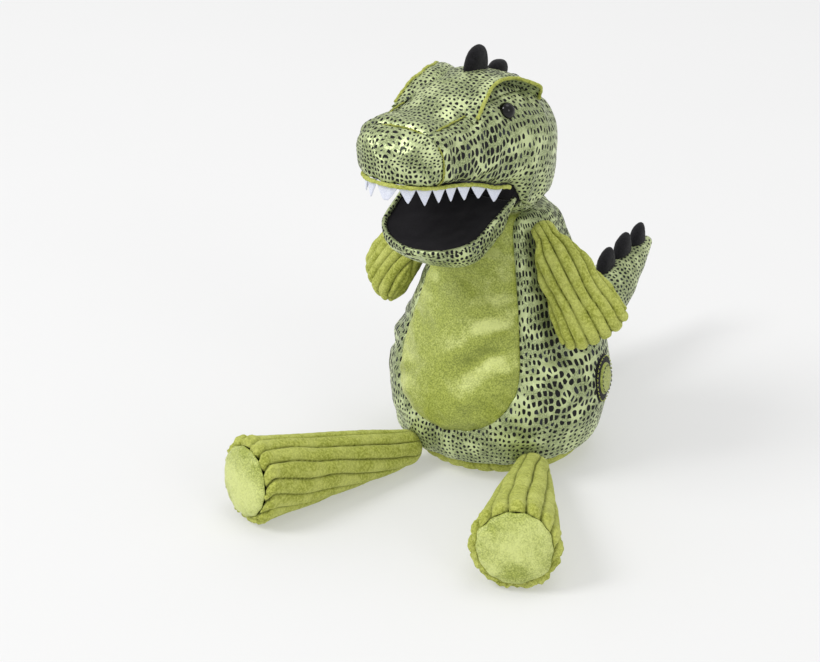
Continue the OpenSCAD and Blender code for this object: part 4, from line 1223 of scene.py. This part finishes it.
def cheek_cells(t, v, P, U, V):
    """Rows that follow the crown seam: tall cells along the side of the muzzle, small ones behind."""
    below = U[:, -1:] - U if v[0, 0] < 90 else U
    muzzle = ease(below, 10, 20) * ease(-P[..., 1], 52, 74)
    size = np.linspace(0, 160, 321)
    rows = np.concatenate([[0], np.cumsum(0.5 / (3.5 + 2.9 * ease(size[1:], 4, 18) * ease(-size[1:], -70, -48)))])
    return V / 3.9, np.interp(below, size, rows), 0.34 + 0.5 * muzzle + 0.16 * noise(P, 14, 52)


head_piece("nose_cloth", tip_t, seam_t, lip_v, 180 - lip_v, "elr", nose_cells, ["nose_panel", "head_stuffing"])
head_piece("crown_cloth", seam_t, 1 - tip_t, 55, 125, "slr", crown_cells, ["crown_panel"])
head_piece("cheek_left_cloth", seam_t, 1 - tip_t, lip_v, 55, "slr", cheek_cells, ["cheek_left"])
head_piece("cheek_right_cloth", seam_t, 1 - tip_t, 125, 180 - lip_v, "slr", cheek_cells, ["cheek_right"])
head_piece("palate_cloth", tip_t, throat_t, 180 - lip_v, 360 + lip_v, "lr", lambda t, v, P, U, V: (U, V, 0 * U),
           ["palate_lining"], LINING, 1.6)
head_piece("head_base_cloth", throat_t, 1 - tip_t, 180 - lip_v, 360 + lip_v, "slr", under_cells, ["head_base"])


def lip_point(s, out, lower):
    """s runs from -1 at the right corner of the mouth to 1 at the left."""
    s = np.asarray(s, float)
    t = 0.0002 + (head_t(mouth_y - 4) - 0.0002) * np.abs(s) ** 1.6
    p = head_point(t, np.where(s < 0, 180 - lip_v, lip_v), -out)
    return p - stack(0 * s, 0.0, lower)


ss = np.linspace(-1, 1, 330)
path = lip_point(ss, 0.9, 0.3)
wide = 1.35 + 0.35 * noise(path, 1.9, 61) + 0.2 * noise(path, 6, 62)
finish_piece("lip_trim_pile", tube(path + 0.25 * shake(path, 2, 63), wide, 12, 0.75), "head", CORD, ["lip_trim"])

# teeth: cut felt with soft edges, longest at the nose
tooth_span, tooth_top, tooth_in = 0.96, 3.8, 1.5
parts = []
for k in range(tooth_count):
    s0, s1 = (2 * k / tooth_count - 1) * tooth_span, (2 * (k + 1) / tooth_count - 1) * tooth_span
    mid = (s0 + s1) / 2
    length = tooth_min + (tooth_len - tooth_min) * max(0.0, math.cos(math.radians(70 * mid))) ** 0.7
    length *= 1 + 0.08 * math.sin(k * 2.3)
    lean = 0.10 * math.sin(k * 1.7)
    rows_, cols_ = 12, 9
    front, back = [], []
    for i in range(rows_):
        b = i / (rows_ - 1)
        taper = (1 - b) ** 0.85 * 0.985 + 0.04
        for j in range(cols_):
            a_ = 2 * j / (cols_ - 1) - 1
            place_s = mid + (s1 - s0) / 2 * (a_ * taper + lean * b)
            drop = tooth_top - 0.6 + (length + 1.6) * b * (1 - 0.04 * a_ * a_)
            soft = math.sqrt(max(0.0, 1 - abs(a_) ** 4)) * math.sqrt(max(0.0, 1 - b**6))
            front.append(lip_point(place_s, -tooth_in + felt * (0.35 + 0.65 * soft), drop))
            back.append(lip_point(place_s, -tooth_in + felt * 0.3 * (1 - soft), drop))
    v = np.array(front + back)
    q = rows_ * cols_
    f = []
    for i in range(rows_ - 1):
        for j in range(cols_ - 1):
            a_ = i * cols_ + j
            f.append([a_, a_ + cols_, a_ + cols_ + 1, a_ + 1])
            f.append([q + a_, q + a_ + 1, q + a_ + cols_ + 1, q + a_ + cols_])
    rim = [j for j in range(cols_)] + [i * cols_ + cols_ - 1 for i in range(1, rows_)]
    rim += [(rows_ - 1) * cols_ + j for j in range(cols_ - 2, -1, -1)] + [i * cols_ for i in range(rows_ - 2, 0, -1)]
    for i in range(len(rim)):
        a_, b_ = rim[i], rim[(i + 1) % len(rim)]
        f.append([a_, b_, b_ + q, a_ + q])
    parts.append((v, f, np.zeros((len(v), 3))))
finish_piece("teeth_felt", join(parts), "head", TOOTH, ["upper_teeth"])

# brows: a padded fold of print over each eye, with a lime pile edge
for side, tag in SIDES:
    y0, y1 = eye_y - 32, eye_y + 46
    f_ = np.linspace(0.0, 1, 100)[:, None]
    q = np.linspace(0, 1, 44)[None]
    under = np.clip(1 - q / 0.3, 0, 1)
    b = np.where(q < 0.3, 0.34 * under, (q - 0.3) / 0.7)
    t = head_t(y0 + (y1 - y0) * f_)
    v = eye_at + 4 + 22 * np.sin(math.pi * f_) + 12 * (b - 0.2) + 2.5 * (q > 0.3) * b
    t, v = np.broadcast_arrays(t, v)
    high = brow_h * np.clip(f_ / 0.42, 0, 1) ** 0.75 * (1 - ease(f_, 0.86, 1.0)) + 0.3
    lift = np.where(q < 0.3, high * (1 - under) ** 0.6, high * (1 - ((q - 0.3) / 0.7)) ** 0.75)
    lift = lift - 0.5 * (q <= 0) - 0.6 * (q >= 1)
    base = head_point(t, v)
    P = base + (head_point(t, v, -1.0) - base) * lift[..., None]
    P[..., 2] -= 1.8 * high / brow_h * np.exp(-(((q - 0.3) / 0.2) ** 2))
    s = Surf(P * [side, 1, 1], (0, -60, 240))
    s.push(0.3 * noise(P, 9, 71) + 0.45 * np.sin(f_ * 30) * np.exp(-np.abs(q - 0.3) / 0.25) * high / brow_h)
    full = 0.4 + 0.2 * noise(P, 14, 72)
    build(f"brow_{tag}_cloth", s, "head", stack(P[..., 1] / 3.2, s.U / 3.6, full), PRINT, hems="se", hem=1.5,
          replaces=[f"brow_{tag}"])
    edge = s.P[5:-3, 13]
    finish_piece(f"brow_{tag}_pile", tube(edge, 1.25 + 0.35 * noise(edge, 1.8, 73), 8, 0.6), "head", CORD)

# a little lime pile shows in the seam behind the nose and along the crown to the brows
parts = []
turn_v = np.linspace(lip_v + 2, 178 - lip_v, 260)
crown_t = np.linspace(seam_t, head_t(eye_y - 30), 90)
for t, v in ((seam_t, turn_v), (crown_t, 55.0), (crown_t, 125.0)):
    t, v = np.broadcast_arrays(t, v)
    line = head_point(t, v, 0.45) + head_field.at(t, v % 360)
    line += 0.25 * shake(line, 2, 66)
    parts.append(tube(line, 0.62 + 0.3 * noise(line, 1.7, 69), 8, 0.5))
finish_piece("head_seam_pile", join(parts), "head", CORD)

# nostrils: rings of satin stitch
for side, tag in SIDES:
    m = head_frame(nose_y + 4, 50, side)
    parts = []
    for k in range(30):
        at = 12 * k
        span = np.linspace(0.52, 1.0, 7)
        bow = 0.75 - 9.0 * (span - 0.76) ** 2
        parts.append(tube(placed(m, stack(3.4 * span * cosd(at), 4.4 * span * sind(at), bow)), 0.42, 6))
    finish_piece(f"nostril_{tag}_stitch", join(parts), "head", THREAD, [f"nostril_{tag}"])

# ---------------------------------------------------------------- spikes


def spike_shape(base, height, lean, matrix, seed):
    """A stuffed felt spike with a rounded tip and a narrow edge in front and behind."""
    h = np.concatenate([np.linspace(-0.06, 0.8, 26), 1 - 0.2 * (1 - np.sin(np.linspace(0.12, 1.5, 14)))])[:, None]
    hh = np.clip(h, 0, 1)
    a = np.degrees(np.arcsin(np.clip(hh, 0, 1) ** (1 / 0.8)))
    front = -base / 2 * cosd(a) * (1 - 0.25 * sind(a)) + lean * sind(a) ** 2
    rear = base / 2 * cosd(a) * (1 - 0.25 * sind(a)) + lean * sind(a) ** 2
    ang = full_turn(48)
    mid = (front + rear) / 2
    half = base / 2 * (1 - 0.14 * hh) * np.sqrt(np.clip(1 - hh**2.9, 0, 1))
    thick = 1.5 * spike_t / 2 * np.clip(1 - hh**3, 0, 1) ** 0.5
    lens = np.abs(cosd(ang))
    y = mid + half * spow(cosd(ang), 0.9)
    x = thick * spow(sind(ang), 0.8) * (1 - 0.25 * lens**8)
    P = stack(x, y, h * height)
    s = Surf(placed(matrix, P), placed(matrix, np.array([0, 0, height * 0.4])), closed=True)
    s.push(0.25 * noise(P, 5, seed) + 0.12 * noise(P, 2, seed + 1))
    return s


def spikes(name, body, rows, cad):
    parts = []
    for seed, (base, height, lean, matrix) in enumerate(rows):
        s = spike_shape(base, height, lean, matrix, 80 + seed)
        made = build("part", s, body, np.zeros((*s.P.shape[:2], 3)), FELT, caps="se")
        co = np.array([q.co for q in made.data.vertices]) / MM
        parts.append((co, [list(q.vertices) for q in made.data.polygons], np.zeros((len(co), 3))))
        bpy.data.objects.remove(made)
    finish_piece(name, join(parts), body, FELT, cad)


crown = []
for y, base, height, lean in ((-40, 27, 18, 2), (-11, 21, 9.5, 3), (10, 15, 7, 2)):
    p, q = head_point(head_t(y), 90), head_point(head_t(y + 2), 90)
    tilt = math.degrees(math.atan2(q[2] - p[2], q[1] - p[1]))
    crown.append((base, height, lean, shift(0, p[1], p[2] + 0.4) @ turn("X", tilt)))
spikes("crown_spikes_felt", "head", crown, ["crown_spikes"])
tail_row = []
for share, base, height, lean in ((0.49, 25, 15, 5), (0.69, 24, 15.5, 5), (0.87, 20, 14.5, 5)):
    d = share * tail_len
    r, r2 = (np.interp(q, tail_line[:, 1], tail_line[:, 0]) for q in (d, d + 0.02 * tail_len))
    taper = math.degrees(math.atan((r - r2) / (0.02 * tail_len)))
    tail_row.append((base, height, lean, tail_place @ shift(0, -r - 0.6, d) @ turn("X", 90 - taper)))
spikes("tail_spikes_felt", "tail", tail_row, ["tail_spikes"])

# ---------------------------------------------------------------- jaw

dense = np.linspace(0, 0.9996, 800)
jt = even(jaw_point(dense, -80), dense, cloth_step)
jv = even(jaw_point(0.4, np.linspace(-187, 7, 900)), np.linspace(-187, 7, 900), 1.2)
t, v = np.meshgrid(jt, jv, indexing="ij")
P = jaw_point(t, v)
s = Surf(P, (0, -85, 200))
d = s.edges("lr")
s.P = s.P + jaw_field.at(t, v % 360)
local = placed(jaw_place.inverted(), P)
rim_line = np.concatenate([jaw_point(np.linspace(0, 0.9999, 160), 0), jaw_point(np.linspace(0.9999, 0, 160), 180)])
rim_line = placed(jaw_place.inverted(), rim_line)
inward, along_rim = to_line(local * [1, 1, 0], rim_line * [1, 1, 0])
from_rim = np.sqrt(inward**2 + local[..., 2] ** 2)
h = seam_dip(from_rim, 0.9, 1.8) + puckers(from_rim, along_rim, 0.4, 10, 8, P, 91)
h = h + 0.6 * noise(P, 20, 92) + 0.25 * noise(P, 7, 93)
h += -1.6 * np.exp(-((P[..., 0] / 3.0) ** 2)) * ease(t, 0.75, 0.98) * ease(P[..., 2], 178, 200)
corner = np.abs(d - 17 - 5 * np.cos(t * 3))
h += -0.9 * np.exp(-((corner / 1.6) ** 2)) * ease(t, 0.1, 0.3) * ease(-t, -0.86, -0.7)
s.push(h * ease(1 - t, 0, 0.002))
under = ease(from_rim, 14, 24) + 0.7 * ease(-np.abs(along_rim - along_rim.max() / 2), -34, -16)
place = np.linspace(0, 60, 121)
rows = np.concatenate([[0], np.cumsum(0.5 / (4.6 - 1.4 * ease(place[1:], 13, 22)))])
cloth = stack(along_rim / 3.2, 0.45 + np.interp(from_rim, place, rows),
                  np.clip(0.68 - 0.42 * np.clip(under, 0, 1) + 0.14 * noise(P, 15, 94), 0, 1))
build("jaw_cloth", s, "jaw", cloth, PRINT, hems="slr", replaces=["jaw_skin", "jaw_stuffing"])
path = np.concatenate([jaw_point(np.linspace(0, 0.9999, 120) ** 0.6, 0, 1.2),
                       jaw_point(np.linspace(0.9999, 0, 120) ** 0.6, 180, 1.2)[1:]])
place = even(path, np.arange(len(path)), cloth_step)
path = np.stack([np.interp(place, np.arange(len(path)), path[:, c]) for c in range(3)], -1)
along = run(path)
verts, faces, _ = tube(path, 1.8 + 0.2 * noise(path, 4, 97), 12)
cells = stack(np.repeat(along / 3.2, 12), np.tile(np.arange(12) * 0.22, len(path)), 0.5)
finish_piece("jaw_rim_cloth", (verts, faces, cells), "jaw", PRINT)
jv = even(jaw_point(0.4, np.linspace(1, 179, 500)), np.linspace(1, 179, 500), 1.6)
t, v = np.meshgrid(jt, jv, indexing="ij")
P = jaw_point(t, v, 1.7)
s = Surf(P, placed(jaw_place, np.array([0, -40, -20.0])))
d = s.edges("lr")
h = 0.1 - 1.4 * (1 - np.exp(-d / 14)) + 0.5 * noise(P, 18, 95) + 0.3 * noise(P, 7, 96)
s.push(h * ease(1 - t, 0, 0.002))
build("jaw_lining_cloth", s, "jaw", stack(s.U, s.V, 0.0), LINING, hems="s",
      replaces=["jaw_lining"])

# ---------------------------------------------------------------- arms and legs: ribbed plush

arm_reach = 3.0
for side, tag in SIDES:
    long_d = np.concatenate([-arm_root_r - arm_reach + arm_root_r * (1 - np.cos(np.linspace(0.1, 1.5, 60))),
                             np.linspace(-arm_reach, 0, 40)[1:], d_dense[d_dense > 0]])
    rows_d = even(arm_point(long_d, 20, 1, arm_reach), long_d, 1.15)[:, None]
    thick, f_ = arm_sizes(rows_d, arm_reach)[1:]
    around = even(stack(arm_half_w * cosd(np.linspace(0, 360, 721)), arm_half_t * sind(np.linspace(0, 360, 721))),
                  np.linspace(0, 360, 721), 0.95)[:-1][None]
    P = arm_point(rows_d, around, side, arm_reach)
    s = Surf(P, placed(arm_place(side), np.array([0, 0, -arm_len * 0.5])), closed=True)
    q = f_ * cosd(around)
    flat_y = np.abs(thick * f_ * sind(around))
    share = 0.5 + 0.5 * (0.55 * q + 0.45 * np.arcsin(np.clip(q, -1, 1)) * 2 / math.pi)
    count = arm_ribs * (0.62 + 0.38 * ease(rows_d, 5, 55))
    bend = 0.05 * noise(P, 22, 101 + side)
    phase = (share - 0.5) * count + bend * 4
    crest = rib(phase)
    d_seam = np.where(np.abs(q) > 0.8, flat_y, np.where(rows_d > arm_len - 9, flat_y, 50))
    grow = ease(rows_d, -13, 6)
    h = -3.6 * (1 - crest) * grow + nap(P, 0.16) - 0.2
    h += 1.2 * crest * grow - 0.9
    end = ease(rows_d, arm_len - 14, arm_len - 2)
    inner = ease(-sind(around) * f_, 0.2, 0.8) * ease(rows_d, 8, 30)
    h += -1.6 * np.exp(-((flat_y / 1.6) ** 2)) * np.where(np.abs(q) > 0.86, 1, end)
    h += 0.5 * noise(P, 24, 103) * grow - 0.9 * inner
    s.P = s.P + arm_fields[side].at(rows_d + 0 * around, around + 0 * rows_d)
    s.push(h)
    # shade is dark in the grooves and, as painted shade, along the side seams and the seam at the end
    shade = crest * (1 - 0.5 * np.exp(-((flat_y / 1.4) ** 2)) * np.where(np.abs(q) > 0.86, 1, end))
    build(f"arm_{tag}_cloth", s, f"{tag}_arm", stack(phase, rows_d, shade), CORD, caps="se",
          replaces=[f"arm_{tag}", f"arm_stuffing_{tag}"])

    k = even(leg_line, np.arange(len(leg_line)), 1.2)[:, None]
    radius = np.interp(k, np.arange(len(leg_line)), leg_line[:, 0])
    dist = np.interp(k, np.arange(len(leg_line)), leg_line[:, 1])
    around = np.linspace(-90, 270, 201)[:-1][None]
    P = leg_shapes[side](k, around)
    s = Surf(P, placed(leg_place(side), np.array([0, 0, leg_len * 0.5])), closed=True)
    phase = np.radians(around - 90) * np.maximum(radius, leg_root_r) / leg_rib + 0.5 * (side > 0)
    phase = phase + 0.16 * noise(P, 26, 111 + side)
    crest = rib(phase)
    grow = ease(dist, -12, 12)
    foot = ease(dist, leg_len - 16, leg_len - 3)
    h = -3.4 * (1 - crest) * grow * (1 + 0.7 * foot) + nap(P, 0.16) - 0.1
    seam_d = leg_len - dist
    h += -2.2 * np.exp(-(seam_d / 2.2)) + (1.5 * foot * (0.4 + noise(P, 2.4, 113)) + 0.9 * foot) * crest
    h += -1.4 * np.exp(-((np.minimum(around + 90, 270 - around) * radius * 0.0175 / 1.8) ** 2))
    h += 0.5 * noise(P, 28, 114) * grow
    s.P = s.P + leg_fields[side].at(k + 0 * around, around % 360 + 0 * k)
    s.push(h)
    s.P[..., 2] = np.maximum(s.P[..., 2], 0.15)
    build(f"leg_{tag}_cloth", s, f"{tag}_leg", stack(phase, dist, crest), CORD, caps="s", hems="e",
          replaces=[f"leg_{tag}", f"leg_stuffing_{tag}"])

    rho = np.sin(np.linspace(0.02, math.pi / 2, 32))[:, None]
    ang = full_turn(144)
    edge_r = (sole_r + 0.6) * (1 + 0.012 * np.cos(np.radians(ang) * 14))
    dome = sole_bulge * np.sqrt(np.clip(1 - rho**2.4, 0, 1))
    P = stack(rho * edge_r * cosd(ang), rho * edge_r * sind(ang), leg_len - 1.2 + dome)
    s = Surf(placed(leg_place(side), P), placed(leg_place(side), np.array([0, 0, leg_len - 30])), closed=True)
    fold = 1.4 * (side > 0) * rho * np.exp(-(((P[..., 0] * 0.5 + P[..., 1] * 0.86 + 3) / 5) ** 2))
    # lean is painted light: mostly a painted highlight, dimmer towards the rim and brighter over the fold
    lean = np.clip(0.84 + 0.3 * noise(P, 16, 123 + side) - 0.22 * rho + 0.12 * fold, 0, 1)
    s.push(0.5 * noise(P, 14, 121 + side) + 0.15 * noise(P, 4, 122) + fold)
    s.P[..., 2] = np.maximum(s.P[..., 2], 0.15)
    build(f"sole_{tag}_cloth", s, f"{tag}_leg", stack(P[..., 0], P[..., 1], lean), VELOUR, caps="s", hems="e",
          replaces=[f"sole_{tag}"])

# ---------------------------------------------------------------- tail

for side, tag in SIDES:
    k = even(tail_line, np.arange(len(tail_line)), cloth_step)[:, None]
    radius = np.interp(k, np.arange(len(tail_line)), tail_line[:, 0])
    v0, v1 = (-90, 90) if side > 0 else (90, 270)
    around = np.linspace(v0, v1, 66)[None]
    P = tail_shape(k, around)
    s = Surf(P, placed(tail_place, np.array([0, 0, tail_len * 0.4])))
    V = s.V
    d = s.edges("lr")
    s.P = s.P + tail_field.at(k + 0 * around, around % 360 + 0 * k)
    h = seam_dip(d, 1.2, 2.2) * ease(radius, 2, 9) + puckers(d, V, 0.5, 9, 7, P, 131) * ease(radius, 3, 12)
    h += (0.7 * noise(P, 20, 132) + 0.3 * noise(P, 8, 133)) * ease(radius, 2, 10)
    s.push(h)
    u = (radius * np.radians(around - v0)) / 3.9
    cloth = stack(u, V / 4.3, np.clip(0.35 + 0.2 * noise(P, 18, 134), 0, 1))
    build(f"tail_{tag}_cloth", s, "tail", cloth, PRINT, hems="lr",
          replaces=[f"tail_{tag}"] + (["tail_stuffing"] if side > 0 else []))

# ---------------------------------------------------------------- CAD parts that stay, with their own finishes

for name, material in (
        ("eye_left", GLOSS), ("eye_right", GLOSS), ("washer_left", WASHER), ("washer_right", WASHER),
        ("zip_teeth", ZIP), ("zip_slider", METAL), ("zip_pull", METAL), ("bean_bag", BEADS), ("pocket_pouch", TAPE)):
    node = nodes[name]
    node.data.materials.clear()
    node.data.materials.append(material)
for name in ("zip_slider", "zip_pull", "zip_teeth"):
    bevel = nodes[name].modifiers.new("edge", "BEVEL")
    bevel.width, bevel.segments, bevel.limit_method = 0.0002, 2, "ANGLE"

# ---------------------------------------------------------------- floor, light and camera

floor_data = bpy.data.meshes.new("floor")
floor_data.from_pydata([(-6, -6, 0), (6, -6, 0), (6, 6, 0), (-6, 6, 0)], [], [[0, 1, 2, 3]])
floor = new_object("floor", floor_data)
paper = Paint("paper")
mottle = paper.noise(400.0)
paper.set(Base_Color=paper.mix(mottle, linear(188, 188, 188), linear(191, 191, 191)), Roughness=0.95,
          Specular_IOR_Level=0.1, Emission_Color=(1, 1, 1, 1), Emission_Strength=0.34)
floor_data.materials.append(paper.mat)
floor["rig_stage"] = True

world = bpy.data.worlds.new("studio")
bpy.context.scene.world = world
world.use_nodes = True
world.node_tree.nodes["Background"].inputs[0].default_value = (1, 1, 1, 1)
world.node_tree.nodes["Background"].inputs[1].default_value = 0.72


def aim(obj, at, look):
    obj.location = at
    obj.rotation_mode = "QUATERNION"
    obj.rotation_quaternion = look.to_track_quat("-Z", "Y")


def softbox(name, at, target, size, power):
    light = bpy.data.lights.new(name, "AREA")
    light.shape, light.size, light.energy = "DISK", size, power
    aim(new_object(name, light), at, Vector(target) - Vector(at))


softbox("key", (-1.9, -2.6, 3.4), (0, 0, 0.15), 1.9, 88)
softbox("fill", (3.4, -1.4, 1.9), (0, 0, 0.15), 1.6, 16)
softbox("top", (0.4, 0.8, 4.4), (0, 0, 0.1), 2.4, 26)

view_turn, view_rise, view_far, view_height = 31, 23, 1.5, 0.130
sensor_mm, frame_px, focal_px = 36, 820, 2025
a, e = math.radians(view_turn), math.radians(view_rise)
back = Vector((math.sin(a) * math.cos(e), -math.cos(a) * math.cos(e), math.sin(e)))
right = Vector((math.cos(a), math.sin(a), 0))
up = Vector((-math.sin(a) * math.sin(e), math.cos(a) * math.sin(e), math.cos(e)))
camera = new_object("camera", bpy.data.cameras.new("camera"))
camera.data.sensor_width = sensor_mm
camera.data.lens = focal_px / frame_px * sensor_mm
camera.data.clip_start, camera.data.clip_end = 0.05, 30
aim(camera, Vector((0, 0, view_height)) + view_far * back, (-back - 0.0444 * right - 0.0248 * up).normalized())
bpy.context.scene.camera = camera
bpy.context.scene.view_settings.view_transform = "Standard"

low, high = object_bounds()
